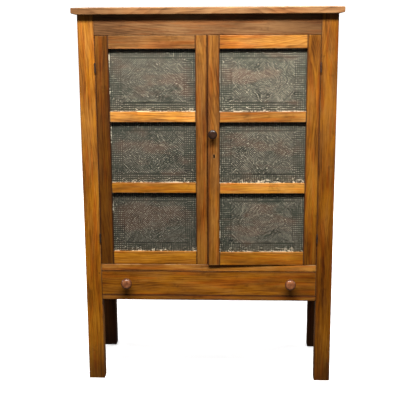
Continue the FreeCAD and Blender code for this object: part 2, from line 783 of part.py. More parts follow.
def door_frame():
    """The right door's wooden frame, closed, by piece."""
    pieces = {name: door_rail(span) for name, span in door_rail_spans().items()}
    pieces["hinge_stile"] = door_stile(DOOR_HINGE_EDGE, SIGHT_OUTER).cut(
        [
            block((DOOR_HINGE_EDGE - LEAF_THICKNESS, DOOR_HINGE_EDGE), (0, LEAF_DEPTH), span)
            for span in hinge_spans()
        ]
    )
    pieces["meeting_stile"] = door_stile(DOOR_FREE_EDGE, SIGHT_INNER)
    return pieces


def door_common():
    """Every piece that the two doors share, as the right door closed."""
    pieces = door_frame()
    for row, tin in zip(TIN_ROWS, door_tins()):
        pieces[f"{row}_tin"] = tin
    pieces["tin_strips"] = door_strips()
    pieces["hinge_leaves"] = hinge_door_leaves()
    return pieces


def inner_bolt():
    """The left door's bolt, drawn down: a flat bar with a thumb stud, behind its plate."""
    middle = -(SIGHT_INNER + DOOR_FREE_EDGE) / 2
    top = DOOR_HIGH - BOLT_TOP_INSET
    front = FRAME_THICKNESS + BOLT_PLATE_THICKNESS + BOLT_CLEARANCE
    across = centred(middle, BOLT_WIDTH)
    depth = (front, front + BOLT_THICKNESS)
    bar = block(across, depth, (top - BOLT_LENGTH, top))
    upper_staple_low = top - STAPLE_END_DISTANCE - STAPLE_HEIGHT / 2
    stud_base = Vector(middle, depth[1], upper_staple_low - BOLT_TRAVEL - THUMB_RADIUS - THUMB_CLEARANCE)
    stud = Part.makeCylinder(THUMB_RADIUS, THUMB_LENGTH, stud_base, Vector(0, 1, 0))
    plate = block(
        centred(middle, BOLT_PLATE_WIDTH),
        (FRAME_THICKNESS, FRAME_THICKNESS + BOLT_PLATE_THICKNESS),
        (top - BOLT_LENGTH - BOLT_PLATE_MARGIN, top),
    )
    fixed = [plate]
    for staple_middle in (top - STAPLE_END_DISTANCE, top - BOLT_LENGTH + STAPLE_END_DISTANCE):
        height = centred(staple_middle, STAPLE_HEIGHT)
        outer = block(
            inset(across, -BOLT_CLEARANCE - STAPLE_METAL),
            (FRAME_THICKNESS + BOLT_PLATE_THICKNESS, depth[1] + BOLT_CLEARANCE + STAPLE_METAL),
            height,
        )
        inner = block(
            inset(across, -BOLT_CLEARANCE),
            (FRAME_THICKNESS + BOLT_PLATE_THICKNESS, depth[1] + BOLT_CLEARANCE),
            height,
        )
        fixed.append(outer.cut(inner))
    return {"left_door_bolt_plate": joined(fixed), "left_door_bolt": joined([bar, stud])}


def left_door():
    """The left door, closed: the right door's mirror image, with its own bolt."""
    pieces = {f"left_door_{name}": mirrored(shape) for name, shape in door_common().items()}
    pieces.update(inner_bolt())
    return pieces


def right_door():
    """The right door with its knob and lock, standing ajar."""
    pieces = {f"right_door_{name}": shape for name, shape in door_common().items()}
    stile = pieces["right_door_meeting_stile"]
    hole = spigot_hole(DOOR_KNOB_RADIUS, FRAME_THICKNESS, DOOR_KNOB_X, DOOR_KNOB_Z)
    pieces["right_door_meeting_stile"] = stile.cut([hole, keyhole(FRAME_THICKNESS)])
    pieces["door_knob"] = knob(DOOR_KNOB_RADIUS, DOOR_KNOB_REACH, FRAME_THICKNESS, DOOR_KNOB_X, DOOR_KNOB_Z)
    pieces["lock_case"] = lock_case()
    pieces["lock_bolt"] = lock_bolt(0, 0)
    axis = Vector(AXIS_X, -AXIS_PROUD, 0)
    return {
        name: shape.rotated(axis, Vector(0, 0, 1), RIGHT_DOOR_AJAR_DEGREES) for name, shape in pieces.items()
    }


# ---------------------------------------------------------------- drawer

DRAWER_HALF_WIDTH = POST_INNER - DRAWER_GAP
DRAWER_SIDE_INNER = DRAWER_HALF_WIDTH - DRAWER_SIDE_THICKNESS
DRAWER_FRONT_HEIGHTS = inset((BOTTOM_RAIL_TOP, DRAWER_OPENING_TOP), DRAWER_GAP)
DRAWER_SIDE_HEIGHTS = (BOTTOM_RAIL_TOP + DRAWER_RUN_GAP, DRAWER_OPENING_TOP - DRAWER_KICK_GAP)
DRAWER_REAR = REAR_RAIL_FRONT - DRAWER_RUN_GAP
DRAWER_BACK_FRONT = DRAWER_REAR - DRAWER_BACK_THICKNESS
TAIL_PITCH = (DRAWER_SIDE_HEIGHTS[1] - DRAWER_SIDE_HEIGHTS[0]) / TAIL_COUNT
DRAWER_GROOVE_LOW = DRAWER_SIDE_HEIGHTS[0] + TAIL_PITCH * (1 - TAIL_SHARE) / 2 + DRAWER_GROOVE_MARGIN
DRAWER_GROOVE_HEIGHTS = (DRAWER_GROOVE_LOW, DRAWER_GROOVE_LOW + DRAWER_BOTTOM_EDGE)


def tails(baseline, tip):
    """Dovetail tails of the right drawer side, from the baseline to the tip along Y."""
    length = abs(tip - baseline)
    narrow = TAIL_SHARE * TAIL_PITCH / 2
    wide = narrow + TAIL_SLOPE * length
    solids = []
    for index in range(TAIL_COUNT):
        middle = DRAWER_SIDE_HEIGHTS[0] + (index + 0.5) * TAIL_PITCH
        corners = [
            Vector(DRAWER_SIDE_INNER, baseline, middle - narrow),
            Vector(DRAWER_SIDE_INNER, tip, middle - wide),
            Vector(DRAWER_SIDE_INNER, tip, middle + wide),
            Vector(DRAWER_SIDE_INNER, baseline, middle + narrow),
        ]
        solids.append(prism(corners, Vector(DRAWER_SIDE_THICKNESS, 0, 0)))
    return solids


def front_tails():
    """The lapped tails that stay hidden behind the drawer's front face."""
    return tails(DRAWER_FRONT_THICKNESS, LAP_THICKNESS)


def rear_tails():
    """The tails that pass right through the drawer's back."""
    return tails(DRAWER_BACK_FRONT, DRAWER_REAR)


def drawer_bottom():
    """The bottom: a board bevelled underneath to thin edges that run in the grooves."""
    low, high = DRAWER_GROOVE_HEIGHTS
    full_low = high - DRAWER_BOTTOM_THICKNESS
    reach = DRAWER_SIDE_INNER + DRAWER_GROOVE_DEPTH
    front = DRAWER_FRONT_THICKNESS - DRAWER_GROOVE_DEPTH
    board = block((-reach, reach), (front, DRAWER_REAR), (full_low, high))
    flat = DRAWER_GROOVE_DEPTH
    side_profile = [
        Vector(reach, front, full_low),
        Vector(reach - DRAWER_BEVEL_WIDTH, front, full_low),
        Vector(reach - flat, front, low),
        Vector(reach, front, low),
    ]
    side_cut = prism(side_profile, Vector(0, DRAWER_REAR - front, 0))
    front_profile = [
        Vector(-reach, front, full_low),
        Vector(-reach, front + DRAWER_BEVEL_WIDTH, full_low),
        Vector(-reach, front + flat, low),
        Vector(-reach, front, low),
    ]
    front_cut = prism(front_profile, Vector(2 * reach, 0, 0))
    return board.cut([side_cut, mirrored(side_cut), front_cut])


def bottom_groove():
    """The room that the bottom's edges take in the sides and the front."""
    reach = DRAWER_SIDE_INNER + DRAWER_GROOVE_DEPTH
    front = DRAWER_FRONT_THICKNESS - DRAWER_GROOVE_DEPTH
    return block((-reach, reach), (front, DRAWER_REAR), DRAWER_GROOVE_HEIGHTS)


def drawer_side():
    """The right side, with tails at both ends and a groove for the bottom."""
    between_ends = (DRAWER_FRONT_THICKNESS, DRAWER_BACK_FRONT)
    body = block((DRAWER_SIDE_INNER, DRAWER_HALF_WIDTH), between_ends, DRAWER_SIDE_HEIGHTS)
    return joined([body] + front_tails() + rear_tails()).cut(bottom_groove())


def drawer_front():
    """The front: sockets for the tails at both ends, a groove behind and holes for the knobs."""
    board = block((-DRAWER_HALF_WIDTH, DRAWER_HALF_WIDTH), (0, DRAWER_FRONT_THICKNESS), DRAWER_FRONT_HEIGHTS)
    sockets = front_tails() + [mirrored(tail) for tail in front_tails()]
    middle = drawer_knob_z()
    holes = [spigot_hole(DRAWER_KNOB_RADIUS, DRAWER_FRONT_THICKNESS, x, middle) for x in drawer_knob_xs()]
    return board.cut(sockets + holes + [bottom_groove()])


def drawer_back():
    """The back, on top of the bottom and a little lower than the sides."""
    heights = (DRAWER_GROOVE_HEIGHTS[1], DRAWER_SIDE_HEIGHTS[1] - DRAWER_BACK_DROP)
    board = block((-DRAWER_HALF_WIDTH, DRAWER_HALF_WIDTH), (DRAWER_BACK_FRONT, DRAWER_REAR), heights)
    return board.cut(rear_tails() + [mirrored(tail) for tail in rear_tails()])


def drawer_knob_xs():
    """Places of the two knobs, the same distance from each end of the front."""
    x = DRAWER_HALF_WIDTH - DRAWER_KNOB_INSET
    return [-x, x]


def drawer_knob_z():
    """Height of the knobs, a little above the middle of the front."""
    return sum(DRAWER_FRONT_HEIGHTS) / 2 + DRAWER_KNOB_RISE


def drawer():
    """The drawer, shut."""
    knobs = [
        knob(DRAWER_KNOB_RADIUS, DRAWER_KNOB_REACH, DRAWER_FRONT_THICKNESS, x, drawer_knob_z())
        for x in drawer_knob_xs()
    ]
    return {
        "drawer_front": drawer_front(),
        "drawer_left_side": mirrored(drawer_side()),
        "drawer_right_side": drawer_side(),
        "drawer_back": drawer_back(),
        "drawer_bottom": drawer_bottom(),
        "drawer_knobs": group(knobs),
    }


def main():
    """Makes every piece, moves it to the origin and writes it as a STEP file."""
    os.makedirs("parts", exist_ok=True)
    pieces = {**case(), **left_door(), **right_door(), **drawer()}
    for name, shape in pieces.items():
        shape.translated(Vector(0, FRONT, 0)).exportStep(f"parts/{name}.step")
    print(f"{len(pieces)} nodes")


main()
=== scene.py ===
"""A pie safe: a tall cupboard on square legs, with two doors of pierced tin and a drawer below them.

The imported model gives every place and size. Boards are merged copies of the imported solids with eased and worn
arrises. Tins, knobs and the heads of tacks, nails and screws are new surfaces worked out with numpy. Iron
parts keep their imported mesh.
"""

from __future__ import annotations

import json
import logging
import math
from dataclasses import dataclass, field
from enum import Enum

import bmesh
import bpy
import numpy as np
from mathutils import Matrix, Vector
from mathutils.geometry import delaunay_2d_cdt

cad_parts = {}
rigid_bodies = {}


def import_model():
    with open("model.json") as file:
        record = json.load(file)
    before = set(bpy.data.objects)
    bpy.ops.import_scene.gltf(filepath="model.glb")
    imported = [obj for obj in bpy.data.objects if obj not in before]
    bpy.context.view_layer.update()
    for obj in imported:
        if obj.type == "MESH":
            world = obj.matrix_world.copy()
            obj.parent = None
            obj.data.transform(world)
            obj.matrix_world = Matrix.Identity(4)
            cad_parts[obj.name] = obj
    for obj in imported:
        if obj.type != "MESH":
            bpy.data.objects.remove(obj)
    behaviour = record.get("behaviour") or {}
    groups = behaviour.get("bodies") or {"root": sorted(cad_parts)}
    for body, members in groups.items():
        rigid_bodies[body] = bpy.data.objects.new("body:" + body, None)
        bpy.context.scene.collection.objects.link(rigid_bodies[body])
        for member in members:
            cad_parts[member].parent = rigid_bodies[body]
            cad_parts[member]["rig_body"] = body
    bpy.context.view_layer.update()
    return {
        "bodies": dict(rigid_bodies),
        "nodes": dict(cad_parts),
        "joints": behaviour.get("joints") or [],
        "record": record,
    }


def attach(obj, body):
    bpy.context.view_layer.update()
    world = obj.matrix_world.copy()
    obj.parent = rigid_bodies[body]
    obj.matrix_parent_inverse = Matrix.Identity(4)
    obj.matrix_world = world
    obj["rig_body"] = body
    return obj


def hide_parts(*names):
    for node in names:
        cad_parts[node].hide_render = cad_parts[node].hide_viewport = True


LOG = logging.getLogger("pie_safe")
MM = 0.001
DOOR_THICKNESS = 22 * MM
KEYHOLE_BESIDE_KNOB = 5.5 * MM
KEYHOLE_BELOW_KNOB = 88 * MM
BOLT_PLATE_THICKNESS = 1.5 * MM
LOCK_THICKNESS = 18 * MM
SCREW_INSET = (3.4 * MM, 4.0 * MM)
Colour = tuple[float, float, float]


# Shader maths


class Wire:
    """One shader socket. Python's operators on it add Math nodes to its shader."""

    def __init__(self, shader: "Shader", socket: bpy.types.NodeSocket) -> None:
        """Keeps the socket and the shader that it belongs to."""
        self.shader = shader
        self.socket = socket

    def __add__(self, other: "Value") -> "Wire":
        """The sum."""
        return self.shader.math("ADD", self, other)

    def __sub__(self, other: "Value") -> "Wire":
        """The difference."""
        return self.shader.math("SUBTRACT", self, other)

    def __rsub__(self, other: "Value") -> "Wire":
        """The difference from a number."""
        return self.shader.math("SUBTRACT", other, self)

    def __mul__(self, other: "Value") -> "Wire":
        """The product."""
        return self.shader.math("MULTIPLY", self, other)

    def __truediv__(self, other: "Value") -> "Wire":
        """The quotient."""
        return self.shader.math("DIVIDE", self, other)

    def __pow__(self, other: "Value") -> "Wire":
        """The power."""
        return self.shader.math("POWER", self, other)

    def __gt__(self, other: "Value") -> "Wire":
        """1 where it is the greater, or else 0."""
        return self.shader.math("GREATER_THAN", self, other)

    __radd__ = __add__
    __rmul__ = __mul__


Value = Wire | float
Coloured = Wire | Colour


class Shader:
    """A material's node tree, written as expressions on its sockets."""

    def __init__(self, name: str) -> None:
        """Makes an empty material with a Principled shader on its output.

        Args:
            name: the record's slot that the material stands for.
        """
        self.material = bpy.data.materials.new(f"{name}_finish")
        self.material["slot"] = name
        self.material.use_nodes = True
        self.tree = self.material.node_tree
        self.tree.nodes.clear()
        self.surface = self.tree.nodes.new("ShaderNodeBsdfPrincipled")
        output = self.tree.nodes.new("ShaderNodeOutputMaterial")
        self.tree.links.new(self.surface.outputs["BSDF"], output.inputs["Surface"])

    def node(self, kind: str, settings: dict, sockets: dict, output: int | str = 0) -> Wire:
        """Adds any node.

        Args:
            kind: the node's type.
            settings: its properties, set first; a ramp's stops are (place, colour) pairs under "stops".
            sockets: values or wires for its inputs, by name or number.
            output: the output that is returned.

        Returns:
            The chosen output.
        """
        made = self.tree.nodes.new(kind)
        for key, value in settings.items():
            if key == "stops":
                self._set_stops(made.color_ramp, value)
            else:
                setattr(made, key, value)
        for key, value in sockets.items():
            self.feed(made.inputs[key], value)
        return Wire(self, made.outputs[output])

    @staticmethod
    def _set_stops(ramp: bpy.types.ColorRamp, stops: list[tuple[float, Colour]]) -> None:
        """Gives a colour ramp its stops."""
        while len(ramp.elements) < len(stops):
            ramp.elements.new(0.5)
        for element, (place, colour) in zip(ramp.elements, stops):
            element.position = place
            element.color = (*colour, 1.0)

    def feed(self, socket: bpy.types.NodeSocket, value: "Value | Coloured") -> None:
        """Links a wire to a socket, or sets the socket to a constant.

        Args:
            socket: the input.
            value: a wire, a number, a vector or a colour.
        """
        if isinstance(value, Wire):
            self.tree.links.new(value.socket, socket)
        elif socket.type == "RGBA":
            socket.default_value = (*value, 1.0)
        else:
            socket.default_value = value

    def set(self, **inputs: "Value | Coloured") -> None:
        """Feeds the Principled shader's inputs; an underscore in a name stands for a space."""
        for name, value in inputs.items():
            self.feed(self.surface.inputs[name.replace("_", " ")], value)

    def math(self, operation: str, *values: Value) -> Wire:
        """Adds a Math node on numbers."""
        return self.node("ShaderNodeMath", {"operation": operation}, dict(enumerate(values)))

    def vector(self, operation: str, *values: "Wire | Colour", scale: Value | None = None) -> Wire:
        """Adds a Vector Math node."""
        sockets = dict(enumerate(values))
        if scale is not None:
            sockets["Scale"] = scale
        return self.node("ShaderNodeVectorMath", {"operation": operation}, sockets)

    def mix(self, share: Value, first: Coloured, second: Coloured, blend: str = "MIX") -> Wire:
        """Mixes two colours."""
        settings = {"data_type": "RGBA", "blend_type": blend, "clamp_factor": True}
        return self.node("ShaderNodeMix", settings, {0: share, 6: first, 7: second}, 2)

    def smooth(self, value: Value, low: Value, high: Value) -> Wire:
        """0 below low and 1 above high, with a smooth step between."""
        sockets = {"Value": value, "From Min": low, "From Max": high}
        return self.node("ShaderNodeMapRange", {"interpolation_type": "SMOOTHSTEP"}, sockets)

    def fade(self, value: Value, low: Value, high: Value) -> Wire:
        """1 below low and 0 above high, with a smooth step between."""
        return 1.0 - self.smooth(value, low, high)

    def least(self, first: Value, *others: Value) -> Value:
        """The least of some values."""
        for other in others:
            first = self.math("MINIMUM", first, other)
        return first

    def most(self, first: Value, *others: Value) -> Value:
        """The greatest of some values."""
        for other in others:
            first = self.math("MAXIMUM", first, other)
        return first

    def shaded(self, colour: Wire, red: Wire, green: Wire | None = None, blue: Wire | None = None) -> Wire:
        """A colour times a shade, or times a shade for each of its parts."""
        return self.mix(1.0, colour, self.joined(red, green or red, blue or red), "MULTIPLY")

    def place(self) -> Wire:
        """Where the point lies: its Object coordinates."""
        return self.node("ShaderNodeTexCoord", {}, {}, "Object")

    def parts(self, vector: Wire) -> tuple[Wire, Wire, Wire]:
        """The three parts of a vector."""
        made = self.node("ShaderNodeSeparateXYZ", {}, {0: vector})
        node = made.socket.node
        return made, Wire(self, node.outputs[1]), Wire(self, node.outputs[2])

    def joined(self, x: Value, y: Value, z: Value) -> Wire:
        """A vector of three parts."""
        return self.node("ShaderNodeCombineXYZ", {}, {0: x, 1: y, 2: z})

    def attribute(self, name: str) -> Wire:
        """The piece's own attribute, as a vector."""
        return self.node("ShaderNodeAttribute", {"attribute_name": name}, {}, "Vector")

    def noise(self, where: Wire, scale: float = 1.0, detail: float = 2.0, roughness: float = 0.5) -> Wire:
        """Soft noise from 0 to 1 about 0.5."""
        sockets = {"Vector": where, "Scale": scale, "Detail": detail, "Roughness": roughness}
        return self.node("ShaderNodeTexNoise", {}, sockets, "Fac")

    def bump(self, height: Wire, strength: float, distance: float) -> None:
        """Feeds the shader's normal from a height."""
        sockets = {"Height": height, "Strength": strength, "Distance": distance}
        self.set(Normal=self.node("ShaderNodeBump", {}, sockets))


# Finishes


@dataclass(frozen=True)
class WoodFinish:
    """Old stained boards under worn varnish: growth rings, fibres, pores, knots, dirt and rubbed arrises, with a
    painted sheen that dulls them towards the top and painted shade that darkens them towards the floor.
    """

    slot: str
    warm: tuple[Colour, Colour, Colour]
    dull: tuple[Colour, Colour, Colour]
    # A dark colour for knots, pores, dirt and painted shade.
    dirt_and_shade: Colour = (0.020, 0.008, 0.003)
    seam: Colour = (0.110, 0.030, 0.005)
    rubbed: Colour = (0.62, 0.36, 0.15)
    redden: Colour = (1.06, 0.78, 0.55)
    stops: tuple[float, float, float] = (0.12, 0.50, 0.90)
    ring_spacing: float = 5.5 * MM
    roughness: float = 0.42
    bare: bool = False

    def make(self) -> bpy.types.Material:
        """Builds the material.

        Returns:
            The material, which reads the boards' own attributes grain, half, look, wear and keyhole.
        """
        s = Shader(self.slot)
        grain = s.attribute("grain")
        shade, warmth, seed = s.parts(s.attribute("look"))
        place = s.vector("ADD", grain, s.vector("SCALE", (3.7, 1.9, 2.3), scale=seed))
        height = s.parts(s.place())[2]

        tone, relief, pore = self._figure(s, grain, place, seed)
        # Painted sheen: the boards' colour turns duller towards the top.
        colour = self._stain(s, place, seed, tone, warmth - s.smooth(height, 0.45, 1.15) * 0.20)
        knot = self._knots(s, place, seed)
        colour = s.mix(knot * 0.85, colour, self.dirt_and_shade)
        colour = s.mix(pore * 0.35, colour, self.dirt_and_shade)
        colour, dullness = self._wear(s, grain, place, colour)
        colour = self._keyhole(s, grain, colour)
        colour, low = self._foot_dirt_and_shade(s, place, height, colour)
        # Painted shade: every board darkens towards the floor.
        shade = shade * (0.82 + s.smooth(height, 0.10, 1.05) * 0.18)
        colour = s.shaded(colour, shade, shade**1.12, shade**1.25)
        s.set(Base_Color=colour, Roughness=self.roughness + dullness + low * 0.2)
        s.set(Specular_IOR_Level=0.1 if self.bare else 0.16)
        s.bump(relief - knot * 0.4, 0.35, 0.5 * MM)
        return s.material

    def _figure(self, s: Shader, grain: Wire, place: Wire, seed: Wire) -> tuple[Wire, Wire, Wire]:
        """Draws rings about a wandering heart beside the board, and streaks, fibres and pores along it.

        Args:
            s: the shader.
            grain: the place in the board, from its middle.
            place: the same, shifted by the board's own number.
            seed: the board's own number.

        Returns:
            How dark the wood is, its relief, and its pores.
        """
        along, across, thick = s.parts(place)
        _, side, depth = s.parts(grain)
        wander = s.noise(s.joined(along * 1.6, across * 2.0, seed), detail=1.0) - 0.5
        ripple = s.noise(s.joined(along * 7.0, across * 30.0, thick * 30.0)) - 0.5
        side = side + wander * 0.16 + s.math("SINE", seed * 37.0) * 0.03
        depth = depth + 0.05
        radius = s.math("SQRT", side * side + depth * depth) + ripple * 0.006
        ring = s.math("FRACT", radius / self.ring_spacing)
        late = ring**2.5 * s.fade(ring, 0.9, 1.0)

        bend = s.noise(s.joined(along * 3.0, across * 6.0, seed), detail=1.0) - 0.5
        wavy, deep = across + bend * 0.012, thick + bend * 0.006
        streak = s.noise(s.joined(along * 3.2, wavy * 130.0, deep * 130.0), detail=5.0, roughness=0.66)
        fibre = s.noise(s.joined(along * 16.0, wavy * 300.0, deep * 300.0), detail=3.0, roughness=0.65)
        fleck = s.noise(s.joined(along * 45.0, across * 1400.0, thick * 1400.0), detail=1.0)
        pore = s.smooth(fleck, 0.62, 0.74)
        patch = s.noise(s.joined(along * 4.5, across * 16.0, thick * 16.0), detail=4.0, roughness=0.60)
        tone = streak * 0.95 + fibre * 0.80 + patch * 1.50 + late * 0.30 - 1.26
        relief = streak * 0.5 + fibre * 0.5 - pore * 0.5 - late * 0.3
        return tone, relief, pore

    def _stain(self, s: Shader, place: Wire, seed: Wire, tone: Wire, warmth: Wire) -> Wire:
        """Colours the figure: from dull to warm in soft patches, with ruddy streaks.

        Args:
            s: the shader.
            place: the shifted place in the board.
            seed: the board's own number.
            tone: how dark the wood is.
            warmth: how warm the board is.

        Returns:
            The colour.
        """
        along, across, _ = s.parts(place)
        dull, warm = (
            s.node("ShaderNodeValToRGB", {"stops": list(zip(self.stops, colours))}, {0: tone}, "Color")
            for colours in (self.dull, self.warm)
        )
        hue = s.noise(s.joined(along * 9.0, across * 40.0, seed + 3.0), detail=3.0) - 0.5
        colour = s.mix(warmth + hue * 0.9, dull, warm)
        ruddy = s.noise(s.joined(along * 5.0, across * 60.0, seed + 8.0), detail=3.0)
        redder = s.mix(1.0, colour, self.redden, "MULTIPLY")
        return s.mix(s.smooth(ruddy, 0.48, 0.66) * 0.8, colour, redder)

    @staticmethod
    def _knots(s: Shader, place: Wire, seed: Wire) -> Wire:
        """Scatters small knots: the hearts of some cells of a Voronoi pattern.

        Args:
            s: the shader.
            place: the shifted place in the board.
            seed: the board's own number.

        Returns:
            1 in a knot and 0 outside.
        """
        along, across, _ = s.parts(place)
        cells = {"Vector": s.joined(along * 6.0, across * 9.0, seed), "Scale": 1.0}
        distance = s.node("ShaderNodeTexVoronoi", {"feature": "F1"}, cells, "Distance")
        dice = s.parts(Wire(s, distance.socket.node.outputs["Color"]))[0]
        return s.fade(distance, 0.012, 0.05) * (dice > 0.72)

    def _wear(self, s: Shader, grain: Wire, place: Wire, colour: Wire) -> tuple[Wire, Wire]:
        """Rubs the arrises bare, and lays dirt in the joints at the ends and along the flanks.

        Args:
            s: the shader.
            grain: the place in the board, from its middle.
            place: the same, shifted by the board's own number.
            colour: the colour so far.

        Returns:
            The colour, and how much rougher the varnish is.
        """
        along, across, thick = s.parts(place)
        rub, joint_dirt, edge_dirt = s.parts(s.attribute("wear"))
        inset = s.vector("SUBTRACT", s.attribute("half"), s.vector("ABSOLUTE", grain))
        ends, sides, faces = s.parts(inset)
        arris = ends + sides + faces - s.least(ends, sides, faces) - s.most(ends, sides, faces)
        handled = s.noise(s.joined(along * 14.0, across * 14.0, thick * 14.0), detail=3.0, roughness=0.7)
        rubbed = s.fade(arris, 0.4 * MM, handled * 6.0 * MM)
        rubbed = rubbed * s.smooth(handled, 0.38, 0.62) * rub
        colour = s.mix(rubbed, colour, self.rubbed)
        inked = s.fade(ends, 0.8 * MM, 2.2 * MM + handled * 4.0 * MM) * joint_dirt
        inked = inked * s.smooth(ends, -2.0 * MM, -0.5 * MM)
        edged = s.fade(s.most(sides, faces), 0.8 * MM, 1.8 * MM + handled * 8.0 * MM) * edge_dirt
        colour = s.mix(edged, colour, self.seam)
        colour = s.mix(inked, colour, self.dirt_and_shade)
        return colour, handled * 0.16 + rubbed * 0.2 + edged * 0.3

    def _keyhole(self, s: Shader, grain: Wire, colour: Wire) -> Wire:
        """Polishes the wood about a keyhole and paints the hole black, as painted shade of its inside; a board
        without one has a hole of no size.

        Args:
            s: the shader.
            grain: the place in the board, from its middle.
            colour: the colour so far.

        Returns:
            The colour.
        """
        hole_along, hole_across, hole_size = s.parts(s.attribute("keyhole"))
        along, across, _ = s.parts(grain)
        beside = s.math("ABSOLUTE", across - hole_across)
        beyond = s.math("ABSOLUTE", along - hole_along)
        away = s.math("SQRT", beside * beside + beyond * beyond * 0.4) / hole_size
        colour = s.mix(s.fade(away, 0.5, 1.0) * 0.30, colour, self.rubbed)
        # Painted shade: the slot is painted black for the dark inside of the hole.
        slot = s.most(beside / hole_size * 2.7, beyond / hole_size * 1.25)
        return s.mix(s.fade(slot, 0.85, 1.15) * (hole_size > MM), colour, (0.0, 0.0, 0.0))

    def _foot_dirt_and_shade(self, s: Shader, place: Wire, height: Wire, colour: Wire) -> tuple[Wire, Wire]:
        """Darkens the boards near the floor with dirt and painted shade, and scatters dirt blotches.

        Args:
            s: the shader.
            place: the shifted place in the board.
            height: the height above the floor.
            colour: the colour so far.

        Returns:
            The colour, and how dark the foot is.
        """
        along, across, thick = s.parts(place)
        grime = s.noise(s.joined(along * 20.0, across * 20.0, thick * 20.0), detail=4.0, roughness=0.7)
        # Darker near the floor: dirt and painted shade.
        low = s.fade(height, 0.0, 0.12 + grime * 0.22) * 0.52
        colour = s.mix(low, colour, self.dirt_and_shade)
        return s.mix(s.smooth(grime, 0.56, 0.72) * 0.30, colour, self.dirt_and_shade), low


@dataclass(frozen=True)
class TinFinish:
    """Old tinned sheet gone grey-green, with rust, pale residue at its edges and rubbed punch tips, painted
    highlights on the tips, and painted shade at the craters' feet and under the rail.
    """

    slot: str = "punched_tin"
    green: Colour = (0.050, 0.055, 0.038)
    grey: Colour = (0.086, 0.078, 0.056)
    rust: Colour = (0.150, 0.082, 0.052)
    # Dark stains, and the painted shade under the rail and at the craters' feet.
    stain_and_shade: Colour = (0.010, 0.011, 0.008)
    residue: Colour = (0.92, 0.86, 0.66)
    tip: Colour = (0.96, 0.88, 0.66)

    def make(self, half_width: float, half_height: float) -> bpy.types.Material:
        """Builds the material.

        Args:
            half_width: half the width of tin that shows between the stiles.
            half_height: half the height of tin that shows between the rails.

        Returns:
            The material, which reads the tins' own attributes sheet and punch.
        """
        s = Shader(self.slot)
        across, up, seed = s.parts(s.attribute("sheet"))
        rise, shade, polish = s.parts(s.attribute("punch"))
        cloud = s.noise(s.joined(across * 9.0, up * 12.0, seed), detail=3.0, roughness=0.6)
        colour = s.mix(s.smooth(cloud, 0.36, 0.62), self.green, self.grey)
        rust = s.noise(s.joined(across * 5.0 + 3.0, up * 13.0, seed + 5.0), detail=5.0, roughness=0.62)
        middle = s.fade(s.math("ABSOLUTE", up - 0.01), 0.01, 0.09)
        colour = s.mix(s.smooth(rust + middle * 0.10, 0.52, 0.68) * 0.7, colour, self.rust)
        stain = s.noise(s.joined(across * 22.0, up * 34.0, seed + 9.0), detail=4.0, roughness=0.7)
        colour = s.mix(s.smooth(stain - up * 0.6, 0.50, 0.68) * 0.6, colour, self.stain_and_shade)

        left, right = half_width + across, half_width - across
        low, high = half_height + up, half_height - up
        rim = s.least(left, right, low, high)
        colour = s.mix(s.fade(rim, 4.0 * MM, 45.0 * MM) * 0.6, colour, self.green)
        # Painted shadow of the rail above: the top of each tin is darkened to near black.
        colour = s.mix(s.fade(high, 6.0 * MM, 13.0 * MM) * 0.8, colour, self.stain_and_shade)

        # Painted shade: the foot of each crater is darkened where the raised punch shades the sheet.
        foot = s.fade(rise, 0.0, 0.5)
        near = s.smooth(rise, 0.002, 0.02)
        colour = s.mix(foot * near * 0.8, colour, self.stain_and_shade)
        # The pale tips are partly rubbed metal and partly a painted highlight where the tips catch the light.
        tip = s.smooth(rise, 0.25, 0.6)
        colour = s.mix(tip * (polish * 0.95 + cloud * 0.55), colour, self.tip)
        colour = s.shaded(colour, shade)

        flakes = s.noise(s.joined(across * 120.0, up * 170.0, seed + 2.0), detail=3.0, roughness=0.7)
        runs = s.noise(s.joined(across * 17.0, up * 17.0, seed + 4.0), detail=2.0)
        spread = s.smooth(runs, 0.45, 0.60)
        crust = s.fade(low, 1.0 * MM, 4.0 * MM) * s.smooth(flakes + spread * 0.12, 0.53, 0.60)
        splash = s.fade(low, 3.0 * MM, 22.0 * MM) * s.smooth(flakes + spread * 0.08, 0.62, 0.67)
        streaked = s.smooth(flakes * 0.6 + runs * 0.6, 0.66, 0.72)
        streaked = s.fade(left, 2.0 * MM, 6.0 * MM) * streaked
        strewn = s.most(streaked, crust, splash)
        colour = s.mix(strewn * 0.9, colour, self.residue)
        s.set(Base_Color=colour, Metallic=0.25, Roughness=0.50 + stain * 0.3)
        s.bump(stain * 0.6 + flakes * 0.4, 0.25, 0.4 * MM)
        return s.material


